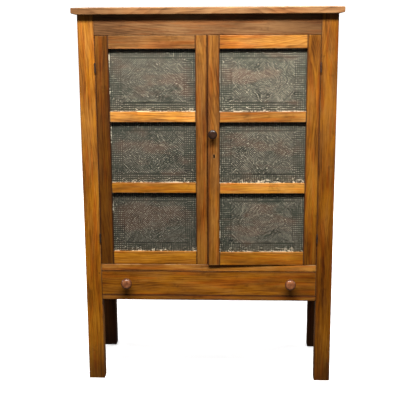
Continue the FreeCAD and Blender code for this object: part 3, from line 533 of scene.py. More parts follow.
@dataclass(frozen=True)
class KnobFinish:
    """Dark turned wood, polished by hands: fine lathe lines, a rubbed face, dirt and painted shade in the neck,
    and painted shade round the rim.
    """

    slot: str = "knob_wood"
    body: Colour = (0.165, 0.046, 0.015)
    worn: Colour = (0.38, 0.142, 0.055)
    # Dirt, and painted shade in the neck and round the rim.
    dirt_and_shade: Colour = (0.018, 0.007, 0.004)

    def make(self) -> bpy.types.Material:
        """Builds the material.

        Returns:
            The material, which reads the knobs' own attribute turn: radius share, reach share and shade.
        """
        s = Shader(self.slot)
        radius, reach, shade = s.parts(s.attribute("turn"))
        place = s.place()
        cloud = s.noise(place, 70.0, 3.0, 0.6)
        fibre = s.noise(s.vector("MULTIPLY", place, (900.0, 120.0, 120.0)), 1.0, 3.0, 0.6)
        colour = s.mix(s.smooth(cloud + fibre * 0.4, 0.45, 0.95), self.body, self.worn)
        # Dirt and painted shade in the neck, under the head.
        neck_dirt_and_shade = s.fade(reach, 0.05, 0.55)
        colour = s.mix(neck_dirt_and_shade * 0.8, colour, self.dirt_and_shade)
        # Painted shade round the rim, where the dome turns away from the light.
        colour = s.mix(s.smooth(radius, 0.72, 1.0) * 0.6, colour, self.dirt_and_shade)
        lathe = s.math("SINE", radius * 90.0) * 0.5 + 0.5
        colour = s.mix(lathe * 0.12, colour, self.dirt_and_shade)
        colour = s.shaded(colour, shade)
        s.set(Base_Color=colour, Roughness=0.42 + cloud * 0.22, Coat_Weight=1.0)
        s.set(Coat_Roughness=0.13, Specular_IOR_Level=0.2)
        s.bump(lathe * 0.3 + fibre * 0.7, 0.2, 0.2 * MM)
        return s.material


@dataclass(frozen=True)
class IronFinish:
    """Dull brown-black iron with rust bloom and a few bright rubs."""

    slot: str = "iron"
    black: Colour = (0.024, 0.014, 0.010)
    rust: Colour = (0.095, 0.034, 0.014)

    def make(self) -> bpy.types.Material:
        """Builds the material.

        Returns:
            The material, on Object coordinates.
        """
        s = Shader(self.slot)
        place = s.place()
        cloud = s.noise(place, 60.0, 4.0, 0.65)
        grit = s.noise(place, 700.0, 3.0, 0.6)
        colour = s.mix(s.smooth(cloud, 0.42, 0.68), self.black, self.rust)
        colour = s.mix(s.smooth(grit, 0.55, 0.75) * 0.3, colour, (0.20, 0.14, 0.09))
        s.set(Base_Color=colour, Metallic=0.35, Roughness=0.50 + cloud * 0.35)
        s.bump(grit * 0.6 + cloud * 0.4, 0.3, 0.3 * MM)
        return s.material


CASE_FINISH = WoodFinish(
    slot="case_wood",
    warm=((0.62, 0.245, 0.014), (0.38, 0.129, 0.0045), (0.12, 0.033, 0.0015)),
    dull=((0.44, 0.236, 0.100), (0.27, 0.128, 0.049), (0.09, 0.038, 0.013)),
)
DOOR_FINISH = WoodFinish(
    slot="door_wood",
    warm=((0.62, 0.258, 0.018), (0.38, 0.134, 0.006), (0.13, 0.037, 0.0015)),
    dull=((0.44, 0.225, 0.088), (0.27, 0.123, 0.042), (0.09, 0.036, 0.012)),
    ring_spacing=4.5 * MM,
)
INNER_FINISH = WoodFinish(
    slot="inner_wood",
    warm=((0.44, 0.26, 0.120), (0.29, 0.160, 0.070), (0.15, 0.076, 0.032)),
    dull=((0.25, 0.150, 0.082), (0.17, 0.096, 0.050), (0.08, 0.044, 0.022)),
    roughness=0.62,
    bare=True,
)


# Mesh tools


def ripples(points: np.ndarray, seed: float) -> np.ndarray:
    """A smooth uneven value from 0 to 1: the mean of three sine waves of unlike pitch and direction.

    Args:
        points: places in metres, one row each.
        seed: shifts the waves.

    Returns:
        One value for each place.
    """
    waves = np.array([[31.0, 17.0, 23.0], [57.0, 71.0, 64.0], [143.0, 119.0, 131.0]])
    phase = np.array([1.3, 2.9, 4.1]) * (1.0 + seed)
    return 0.5 + 0.5 * np.sin(points @ waves.T + phase).mean(axis=1)


def places_of(mesh: bpy.types.Mesh) -> np.ndarray:
    """The places of a mesh's vertices, one row each."""
    points = np.empty(len(mesh.vertices) * 3)
    mesh.vertices.foreach_get("co", points)
    return points.reshape(-1, 3)


def island_numbers(mesh: bpy.types.Mesh) -> np.ndarray:
    """Numbers the separate solids of a mesh.

    Each vertex takes the lowest number among its neighbours, again and again until none changes.

    Args:
        mesh: the mesh.

    Returns:
        The lowest vertex number in each vertex's own solid.
    """
    edges = np.empty(len(mesh.edges) * 2, dtype=int)
    mesh.edges.foreach_get("vertices", edges)
    start, end = edges.reshape(-1, 2).T
    label = np.arange(len(mesh.vertices))
    while True:
        least = label.copy()
        np.minimum.at(least, start, label[end])
        np.minimum.at(least, end, label[start])
        least = least[least]
        if np.array_equal(least, label):
            return label
        label = least


def swept_faces(rings: int, rounds: int) -> np.ndarray:
    """The quads between neighbouring rings of a surface of revolution, four vertex numbers each."""
    rows = np.arange(rings - 1)[:, None] * rounds
    here, after = np.arange(rounds), (np.arange(rounds) + 1) % rounds
    corners = [rows + here, rows + after, rows + rounds + after, rows + rounds + here]
    return np.stack(corners, axis=-1).reshape(-1, 4)


def close_up(mesh: bpy.types.Mesh) -> None:
    """Merges a turned mesh's poles, caps its foot, points its faces outwards and smooths all but the caps."""
    work = bmesh.new()
    work.from_mesh(mesh)
    bmesh.ops.remove_doubles(work, verts=work.verts, dist=0.01 * MM)
    bmesh.ops.holes_fill(work, edges=[edge for edge in work.edges if edge.is_boundary], sides=0)
    bmesh.ops.recalc_face_normals(work, faces=work.faces)
    for face in work.faces:
        face.smooth = len(face.verts) <= 4
    work.to_mesh(mesh)
    work.free()


def put_attribute(mesh: bpy.types.Mesh, name: str, values: np.ndarray) -> None:
    """Stores a vector on every vertex of a mesh.

    Args:
        mesh: the mesh.
        name: the attribute's name.
        values: one row of three numbers for each vertex.
    """
    layer = mesh.attributes.new(name, "FLOAT_VECTOR", "POINT")
    layer.data.foreach_set("vector", values.astype(np.float32).ravel())


def new_piece(
    name: str, mesh: bpy.types.Mesh, material: bpy.types.Material, body: str, *nodes: str
) -> bpy.types.Object:
    """Links a piece that rides on a body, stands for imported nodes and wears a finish.

    Args:
        name: the piece's name.
        mesh: its mesh, in place.
        material: its finish.
        body: the body it moves with.
        nodes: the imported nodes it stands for.

    Returns:
        The piece.
    """
    piece = bpy.data.objects.new(name, mesh)
    bpy.context.scene.collection.objects.link(piece)
    mesh.materials.clear()
    mesh.materials.append(material)
    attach(piece, body)
    if nodes:
        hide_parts(*nodes)
    LOG.info("%s rides on %s, %d faces", name, body, len(mesh.polygons))
    return piece


@dataclass(frozen=True)
class Swing:
    """A turn about an upright line, from where a door is built closed to where it stands at rest."""

    x: float = 0.0
    y: float = 0.0
    degrees: float = 0.0

    @property
    def opening(self) -> Matrix:
        """The turn from closed to rest."""
        pivot = Matrix.Translation((self.x, self.y, 0.0))
        return pivot @ Matrix.Rotation(math.radians(self.degrees), 4, "Z") @ pivot.inverted()

    def closed(self, points: np.ndarray) -> np.ndarray:
        """Places at rest, turned back to the closed door."""
        turn = np.array(self.opening.inverted())
        return points @ turn[:3, :3].T + turn[:3, 3]

    def opened(self, points: np.ndarray) -> np.ndarray:
        """Places on the closed door, turned to rest."""
        turn = np.array(self.opening)
        return points @ turn[:3, :3].T + turn[:3, 3]


def packed_points(frame: dict, node: str, swing: Swing = Swing()) -> np.ndarray:
    """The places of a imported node's vertices, with its body closed.

    Args:
        frame: the loaded frame.
        node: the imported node.
        swing: how far its body stands open at rest.

    Returns:
        One row for each vertex.
    """
    return swing.closed(places_of(frame["nodes"][node].data))


def swing_of(frame: dict, joint_name: str) -> Swing:
    """Reads how far a door stands open at rest.

    Args:
        frame: the loaded frame.
        joint_name: the door's hinge.

    Returns:
        The turn about the hinge from closed, the joint's lower limit, to rest.
    """
    joint = next(j for j in frame["joints"] if j["name"] == joint_name)
    x, y, _ = joint["pos_m"]
    return Swing(x, y, -joint["range_deg"][0] * joint["axis"][2])


class Lay(Enum):
    """How a board lies: the axes along its grain, across its face and through its thickness."""

    POST = (2, 0, 1)
    RAIL = (0, 2, 1)
    SIDE_RAIL = (1, 2, 0)
    SIDE_PANEL = (2, 1, 0)
    SHELF = (0, 1, 2)


@dataclass
class Board:
    """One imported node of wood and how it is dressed.

    Shade, warmth and seed set its tone, and spread how unlike its separate boards are. Arris is the width of
    its eased edges, worn unevenly from station to station. Rub, end dirt and edge dirt set its wear. Tenon is
    the length hidden in each joint, swell widens the board along both its long edges, and drift gives the
    shade along the grain as pairs of a share of the length and a factor.
    """

    node: str
    lay: Lay
    shade: float = 1.0
    warmth: float = 0.5
    seed: float = 1.0
    arris: float = 1.2 * MM
    rub: float = 0.35
    tenon: float = 0.0
    end_dirt: float = 0.0
    station: float = 45 * MM
    spread: float = 0.0
    edge_dirt: float = 0.0
    swell: float = 0.0
    drift: tuple[tuple[float, float], ...] = ((0.0, 1.0),)
    keyhole: tuple[float, float, float] | None = None
    keyhole_size: float = 9.0 * MM

    def dress(self, frame: dict, finish: bpy.types.Material, swing: Swing = Swing()) -> bpy.types.Object:
        """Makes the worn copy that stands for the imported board.

        Args:
            frame: the loaded frame.
            finish: the wood's material.
            swing: how far the board's body stands open at rest.

        Returns:
            The piece.
        """
        source = frame["nodes"][self.node]
        work = bmesh.new()
        work.from_mesh(source.data)
        work.transform(swing.opening.inverted())
        bmesh.ops.remove_doubles(work, verts=work.verts, dist=0.002 * MM)
        bmesh.ops.dissolve_limit(work, angle_limit=math.radians(0.5), verts=work.verts, edges=work.edges)
        for face in work.faces:
            face.smooth = False
            if self.swell and abs(face.normal[self.lay.value[1]]) > 0.9:
                for vert in face.verts:
                    vert.co += face.normal * self.swell
        self._ease(work)
        self._cut_stations(work)
        mesh = bpy.data.meshes.new(f"{self.node}_wood")
        self._rub_down(work)
        work.to_mesh(mesh)
        work.free()
        self._mark(mesh)
        mesh.transform(swing.opening)
        return new_piece(mesh.name, mesh, finish, source["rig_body"], self.node)

    def _ease(self, work: bmesh.types.BMesh) -> None:
        """Rounds the outer arrises, but not those across a tenoned board's grain, for tight joints."""
        along = self.lay.value[0]
        chosen = []
        for edge in work.edges:
            if len(edge.link_faces) != 2 or not edge.is_convex or edge.calc_length() < 6 * self.arris:
                continue
            direction = (edge.verts[1].co - edge.verts[0].co).normalized()
            crosses = abs(direction[along]) < 0.9
            if edge.calc_face_angle(0.0) > math.radians(35) and not (self.tenon and crosses):
                chosen.append(edge)
        made = bmesh.ops.bevel(
            work, geom=chosen, offset=self.arris, offset_type="OFFSET", segments=2, profile=0.5,
            affect="EDGES", clamp_overlap=True,
        )
        for face in made["faces"]:
            face.smooth = True

    def _cut_stations(self, work: bmesh.types.BMesh) -> None:
        """Cuts the board across its grain at even stations, so that its arrises can be worn unevenly."""
        axis = self.lay.value[0]
        reach = [vert.co[axis] for vert in work.verts]
        normal = Vector([float(i == axis) for i in range(3)])
        for place in np.arange(min(reach) + self.station / 2, max(reach), self.station):
            geometry = work.verts[:] + work.edges[:] + work.faces[:]
            bmesh.ops.bisect_plane(
                work, geom=geometry, dist=0.001 * MM, plane_co=normal * float(place), plane_no=normal,
            )

    def _rub_down(self, work: bmesh.types.BMesh) -> None:
        """Sinks the crest of each eased arris by up to half its width, unevenly along the board."""
        crest = [vert for vert in work.verts if all(face.smooth for face in vert.link_faces)]
        if not crest:
            return
        places = np.array([vert.co for vert in crest])
        depth = ripples(places, self.seed) ** 2 * 0.45 * self.arris
        for vert, sink in zip(crest, depth):
            vert.co -= vert.normal * float(sink)

    def _mark(self, mesh: bpy.types.Mesh) -> None:
        """Stores each vertex's place in its own board, the board's half size, its looks and its wear.

        Args:
            mesh: the merged mesh of the closed door or case, one or more separate boards.
        """
        count = len(mesh.vertices)
        points = places_of(mesh)[:, list(self.lay.value)]
        names, number = np.unique(island_numbers(mesh), return_inverse=True)
        low = np.full((len(names), 3), np.inf)
        high = np.full((len(names), 3), -np.inf)
        np.minimum.at(low, number, points)
        np.maximum.at(high, number, points)
        centre, half = (low + high) / 2, (high - low) / 2
        half[:, 0] -= self.tenon
        turn = np.sin((np.arange(len(names)) + 1) * 12.9898 * self.seed)
        shade = self.shade * (1 + self.spread * turn)
        look = np.column_stack([shade, self.warmth + 0.6 * self.spread * turn, self.seed + turn])
        put_attribute(mesh, "grain", points - centre[number])
        put_attribute(mesh, "half", half[number])
        share = (points[:, 0] - low[number, 0]) / (high - low)[number, 0]
        drift = np.interp(share, *np.transpose(self.drift))
        put_attribute(mesh, "look", look[number] * np.column_stack([drift, np.ones((count, 2))]))
        put_attribute(mesh, "wear", np.tile([self.rub, self.end_dirt, self.edge_dirt], (count, 1)))
        hole = np.array([0.0, 0.0, 0.1 * MM])
        if self.keyhole:
            hole[:2] = (np.array(self.keyhole)[list(self.lay.value)] - centre[0])[:2]
            hole[2] = self.keyhole_size
        put_attribute(mesh, "keyhole", np.tile(hole, (count, 1)))


KNOB_OUTLINE = np.array([
    [0.60, 0.06], [0.64, 0.00], [0.60, -0.07], [0.50, -0.14], [0.48, -0.32], [0.66, -0.44], [0.99, -0.53],
    [1.045, -0.66], [1.00, -0.80], [0.84, -0.94], [0.60, -1.00], [0.30, -1.00], [0.04, -1.00], [-0.04, -1.00],
])


@dataclass
class Knob:
    """A turned mushroom knob and its spigot: an outline swept round a line along Y.

    KNOB_OUTLINE holds the head's control points, as shares of the radius and of the reach from the wood's
    face. The outline is their quadratic B-spline.
    """

    x: float
    z: float
    face: float
    radius: float
    reach: float
    spigot: float
    depth: float
    shade: float = 1.0
    rounds: int = 40
    steps: int = 8
    bare_shade: float = 0.7

    @classmethod
    def over(cls, points: np.ndarray, depth: float, shade: float) -> "Knob":
        """A knob that fills the space of a packed one.

        Args:
            points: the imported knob's vertices, on the closed body.
            depth: how far its spigot reaches into the wood.
            shade: how light the knob is.

        Returns:
            The knob.
        """
        low, high = points.min(axis=0), points.max(axis=0)
        x, _, z = (low + high) / 2
        face = high[1] - depth
        inner = points[points[:, 1] > face + depth / 2]
        spigot = np.hypot(inner[:, 0] - x, inner[:, 2] - z).max()
        return cls(x, z, face, (high[2] - low[2]) / 2, face - low[1], spigot, depth, shade)

    def surface(self) -> tuple[np.ndarray, np.ndarray, np.ndarray]:
        """Works out the knob.

        The outline is the uniform quadratic B-spline of its control points: each span is
        (1-t)^2/2 p0 + (1/2 + t - t^2) p1 + t^2/2 p2, and the surface is (r cos a, y, r sin a).

        Returns:
            The places, the faces as four vertex numbers each, and each vertex's turn attribute.
        """
        t = np.linspace(0, 1, self.steps, endpoint=False)[:, None]
        spans = [
            (1 - t) ** 2 / 2 * a + (0.5 + t - t * t) * b + t * t / 2 * c
            for a, b, c in zip(KNOB_OUTLINE[:-2], KNOB_OUTLINE[1:-1], KNOB_OUTLINE[2:])
        ]
        thin, deep = self.spigot / self.radius, self.depth / self.reach
        foot = np.array([[thin * 0.9, deep], [thin, deep * 0.97], [thin, 0.05]])
        outline = np.vstack([foot, *spans, [[0.0, -1.0]]])
        outline[:, 0] = np.clip(outline[:, 0], 0.0, 1.0)
        angle = np.linspace(0, 2 * np.pi, self.rounds, endpoint=False)
        r, a = np.meshgrid(outline[:, 0] * self.radius, angle, indexing="ij")
        y = np.repeat(outline[:, 1:] * self.reach, self.rounds, axis=1)
        points = np.stack([self.x + r * np.cos(a), self.face + y, self.z + r * np.sin(a)], axis=-1)
        looks = np.column_stack([outline[:, 0], -outline[:, 1], np.full(len(outline), self.shade)])
        looks[: len(foot)] = (0.3, 0.6, self.bare_shade)
        faces = swept_faces(len(outline), self.rounds)
        return points.reshape(-1, 3), faces, np.repeat(looks, self.rounds, axis=0)


def knob_piece(
    name: str, knobs: list[Knob], finish: bpy.types.Material, body: str, node: str, swing: Swing = Swing()
) -> None:
    """Joins knobs into one piece.

    Args:
        name: the piece's name.
        knobs: the knobs.
        finish: their material.
        body: the body they move with.
        node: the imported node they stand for.
        swing: how far that body stands open at rest.
    """
    places, faces, turns, first = [], [], [], 0
    for knob in knobs:
        points, quads, turn = knob.surface()
        places.append(points)
        faces.append(quads + first)
        turns.append(turn)
        first += len(points)
    mesh = bpy.data.meshes.new(name)
    mesh.from_pydata(swing.opened(np.vstack(places)).tolist(), [], np.vstack(faces).tolist())
    put_attribute(mesh, "turn", np.vstack(turns))
    close_up(mesh)
    new_piece(name, mesh, finish, body, node)


def solid_boxes(piece: bpy.types.Object, swing: Swing = Swing()) -> list[tuple[np.ndarray, np.ndarray]]:
    """Measures each separate solid of a piece, with its body closed.

    Args:
        piece: the piece.
        swing: how far its body stands open at rest.

    Returns:
        The lowest and the highest corner of each solid.
    """
    points, label = swing.closed(places_of(piece.data)), island_numbers(piece.data)
    return [(points[label == one].min(axis=0), points[label == one].max(axis=0)) for one in np.unique(label)]


def round_frame(
    low: np.ndarray, high: np.ndarray, lap: tuple[float, float], spacing: float = 75 * MM
) -> np.ndarray:
    """Even places along the middles of four strips that frame an opening, on their backs.

    Args:
        low: the frame's lowest corner.
        high: its highest corner.
        lap: the width of the upright strips and of the level ones.
        spacing: about how far apart the places are.

    Returns:
        One row for each place.
    """
    rows = []
    for axis, other, width, skip in ((0, 2, lap[1], lap[0]), (2, 0, lap[0], 2 * lap[1])):
        count = round((high[axis] - low[axis] - 2 * skip) / spacing) + 1
        for place in (low[other] + width / 2, high[other] - width / 2):
            row = np.full((count, 3), high[1])
            row[:, axis] = np.linspace(low[axis] + skip, high[axis] - skip, count)
            row[:, other] = place
            rows.append(row)
    return np.vstack(rows)


def near_corners(low: np.ndarray, high: np.ndarray, face: float, inset: tuple[float, float]) -> np.ndarray:
    """The four places near the corners of a box's back, at a given depth, by insets across and up."""
    x, z = (low[0] + inset[0], high[0] - inset[0]), (low[2] + inset[1], high[2] - inset[1])
    return np.array([[i, face, j] for i in x for j in z])


@dataclass(frozen=True)
class Heads:
    """Round heads of tacks, nails or screws that face the back: a low dome on a skirt sunk in its seat."""

    radius: float
    rise: float
    groove: float = 0.0
    skirt: float = 0.3 * MM
    stray: float = 0.4 * MM
    rounds: int = 12
    rings: int = 4
    groove_half: float = 0.1

    def piece(
        self, name: str, places: np.ndarray, finish: bpy.types.Material, body: str, swing: Swing = Swing()
    ) -> None:
        """Drives one head home at each place.

        A head's surface is (r sin t cos a, h cos t, r sin t sin a), for t from a right angle to nothing. A
        screw's slot lowers the points near the middle line.

        Args:
            name: the piece's name.
            places: the heads' middles on the closed body.
            finish: their material.
            body: the body they move with.
            swing: how far that body stands open at rest.
        """
        t = np.linspace(np.pi / 2, 0, self.rings, endpoint=False)
        turn = np.linspace(0, 2 * np.pi, self.rounds, endpoint=False)
        r, a = np.meshgrid(np.append(1.0, np.sin(t)) * self.radius, turn, indexing="ij")
        y = np.repeat(np.append(-self.skirt, self.rise * np.cos(t))[:, None], self.rounds, axis=1)
        x, z = r * np.cos(a), r * np.sin(a)
        y[2:] -= self.groove * (np.abs(x[2:]) < self.groove_half * self.radius)
        dome = np.vstack([np.stack([x, y, z], axis=-1).reshape(-1, 3), [[0.0, self.rise - self.groove, 0.0]]])
        last, tip = self.rings * self.rounds + np.arange(self.rounds), len(dome) - 1
        crown = np.column_stack([last, np.roll(last, -1), np.full(self.rounds, tip)])
        faces = swept_faces(self.rings + 1, self.rounds).tolist() + crown.tolist()
        dice = np.random.default_rng(len(places))
        strayed = places + dice.uniform(-self.stray, self.stray, places.shape) * [1.0, 0.0, 1.0]
        points = (strayed[:, None, :] + dome).reshape(-1, 3)
        starts = range(0, len(points), len(dome))
        joined = [[first + vertex for vertex in face] for first in starts for face in faces]
        mesh = bpy.data.meshes.new(name)
        mesh.from_pydata(swing.opened(points).tolist(), [], joined)
        close_up(mesh)
        new_piece(name, mesh, finish, body)


TACK = Heads(1.7 * MM, 0.7 * MM)
NAIL = Heads(2.4 * MM, 0.6 * MM, stray=1.5 * MM)
SCREW = Heads(2.2 * MM, 1.0 * MM, groove=0.45 * MM)


class Row(Enum):
    """The three tins of a door, from the lowest up."""

    LOWER = "lower"
    MIDDLE = "middle"
    UPPER = "upper"


@dataclass
class PunchPattern:
    """Where a tin is punched: rows round its rim, ovals in lozenges, crosses near its corners, and a lattice.

    Lengths are in millimetres from the tin's middle, because the triangulation works best on such numbers.
    """

    sight_width: float = 334.0
    sight_height: float = 241.5
    pitch: float = 7.2
    row_pitch: float = 8.2
    line_pitch: float = 5.8
    border_columns: int = 6
    border_rows: int = 4
    slit_pitch: float = 60.0
    border_inset: float = 16.0
    lozenge: tuple[float, float] = (112.0, 74.0)
    lozenge_slits: int = 3
    nest_scales: tuple[float, ...] = (0.80, 1.04, 1.14)
    oval: tuple[float, float] = (62.0, 36.0)
    oval_scales: tuple[float, ...] = (0.88, 1.0)
    honeycomb: float = 6.0
    lattice_half: int = 40
    cross_half: float = 20.0
    star_radius: float = 30.0
    star_slits: int = 6
    fan_radius: float = 36.0
    dot: tuple[float, float] = (2.0, 2.0)
    slit: tuple[float, float] = (4.9, 2.0)
    slit_marks: tuple[float, ...] = (-3.0, 0.0, 3.0)
    rim: float = 4.0
    gap: float = 4.5
    line_gap: float = 4.6
    stray: float = 0.25
    size_range: tuple[float, float] = (0.80, 1.06)
    seed: int = 5
    placed: list[np.ndarray] = field(default_factory=list)
    dice: np.random.Generator = field(init=False)

    def __post_init__(self) -> None:
        """Seeds the hammer's small straying."""
        self.dice = np.random.default_rng(self.seed)

    def _place(self, points: np.ndarray, gap: float) -> None:
        """Strays the points a little, and adds those that are a gap away from everything placed before.

        Args:
            points: places across and up.
            gap: the least distance.
        """
        strayed = points + self.dice.normal(0, self.stray, points.shape).clip(-2 * self.stray, 2 * self.stray)
        apart = np.linalg.norm(strayed[:, None, :] - np.vstack(self.placed), axis=2)
        self.placed.append(strayed[(apart > gap).all(axis=1)])

    def _slits(self) -> np.ndarray:
        """Spreads the long slits along the border, the lozenge, the star and the four corner fans.

        Returns:
            Their places across and up, and their angles.
        """
        half = np.array([self.sight_width, self.sight_height]) / 2 - self.border_inset
        rows = []
        for side in (-1, 1):
            for axis in (0, 1):
                count = max(1, round(2 * half[axis] / self.slit_pitch))
                row = np.full((count, 3), side * half[1 - axis])
                row[:, axis] = half[axis] * ((2 * np.arange(count) + 1) / count - 1)
                row[:, 2] = axis * np.pi / 2
                rows.append(row)
        share = (np.arange(self.lozenge_slits) + 0.5) / self.lozenge_slits
        wide, tall = self.lozenge
        corner_x, corner_z = half - self.fan_radius * math.sqrt(0.5)
        for right in (-1, 1):
            for up in (-1, 1):
                slope = np.full(len(share), math.atan2(-up * tall, right * wide))
                rows.append(np.column_stack([right * wide * share, up * tall * (1 - share), slope]))
                rows.append(np.array([[right * corner_x, up * corner_z, math.atan2(up, right)]]))
        spokes = 2 * np.pi * np.arange(self.star_slits) / self.star_slits
        star = self.star_radius * np.array([np.cos(spokes), np.sin(spokes)])
        rows.append(np.column_stack([*star, spokes]))
        return np.vstack(rows)

    def _ring(self, half: np.ndarray, power: float, samples: int = 1441) -> np.ndarray:
        """Evenly spaced places along |x/a|^p + |z/b|^p = 1, a lozenge for p = 1 and an oval for p = 2.

        Args:
            half: half the ring's width and half its height.
            power: the power p.
            samples: how many points measure the ring's length.

        Returns:
            One row for each place.
        """
        turn = np.linspace(0, 2 * np.pi, samples)
        c, s = np.cos(turn), np.sin(turn)
        x = np.sign(c) * np.abs(c) ** (2 / power) * half[0]
        z = np.sign(s) * np.abs(s) ** (2 / power) * half[1]
        length = np.concatenate([[0], np.cumsum(np.hypot(np.diff(x), np.diff(z)))])
        count = 4 * max(1, round(length[-1] / self.line_pitch / 4))
        at = np.linspace(0, length[-1], count, endpoint=False)
        return np.column_stack([np.interp(at, length, x), np.interp(at, length, z)])

    def _border(self, edge_x: float, edge_z: float) -> None:
        """Places the rows and columns round the rim, from the outside in."""
        for row in range(self.border_columns):
            x, z = edge_x - row * self.pitch, edge_z - min(row, self.border_rows) * self.row_pitch
            across = np.linspace(-x, x, int(2 * x // self.pitch) + 1)
            upward = np.linspace(-z, z, int(2 * z // self.row_pitch) + 1)
            for side in (-1, 1):
                self._place(np.column_stack([np.full(len(upward), side * x), upward]), self.gap)
                if row < self.border_rows:
                    self._place(np.column_stack([across, np.full(len(across), side * z)]), self.gap)

    def _figures(self, inner_x: float, inner_z: float) -> None:
        """Places the ovals, the lozenges and the crosses inside the border."""
        for scale in self.oval_scales:
            self._place(self._ring(np.array(self.oval) * scale, 2.0), self.line_gap)
        for scale in self.nest_scales:
            ring = self._ring(np.array(self.lozenge) * scale, 1.0)
            ring = ring[(np.abs(ring[:, 0]) < inner_x) & (np.abs(ring[:, 1]) < inner_z)]
            self._place(ring, self.line_gap)
        cross_x, cross_z = inner_x - self.cross_half, inner_z - self.cross_half
        arm = np.arange(-self.cross_half, self.cross_half + 0.1, self.line_pitch * math.sqrt(0.5))
        for right in (-1, 1):
            for up in (-1, 1):
                for lean in (-1, 1):
                    arms = np.column_stack([right * cross_x + arm, up * cross_z + lean * arm])
                    self._place(arms, self.line_gap)

    def punches(self) -> tuple[np.ndarray, np.ndarray, np.ndarray]:
        """Lays the whole pattern out.

        Returns:
            The punches' middles, their half sizes at the foot, and their angles.
        """
        slits = self._slits()
        along = np.column_stack([np.cos(slits[:, 2]), np.sin(slits[:, 2])])
        self.placed = [slits[:, :2] + mark * along for mark in self.slit_marks]
        edge_x, edge_z = self.sight_width / 2 - self.rim, self.sight_height / 2 - self.rim
        self._border(edge_x, edge_z)
        inner_x = edge_x - self.border_columns * self.pitch
        inner_z = edge_z - self.border_rows * self.row_pitch
        self._figures(inner_x, inner_z)
        steps = np.arange(-self.lattice_half, self.lattice_half + 1) * self.honeycomb
        u, v = np.meshgrid(steps, steps)
        lattice = np.column_stack([(u + v).ravel(), (u - v).ravel()]) * math.sqrt(0.5)
        inside = (np.abs(lattice[:, 0]) < inner_x) & (np.abs(lattice[:, 1]) < inner_z)
        self._place(lattice[inside], self.gap)
        dots = np.vstack(self.placed[len(self.slit_marks) :])
        sizes = np.vstack([np.tile(self.dot, (len(dots), 1)), np.tile(self.slit, (len(slits), 1))])
        sizes *= self.dice.uniform(*self.size_range, (len(sizes), 1))
        angles = np.concatenate([np.zeros(len(dots)), slits[:, 2]])
        return np.vstack([dots, slits[:, :2]]), sizes, angles


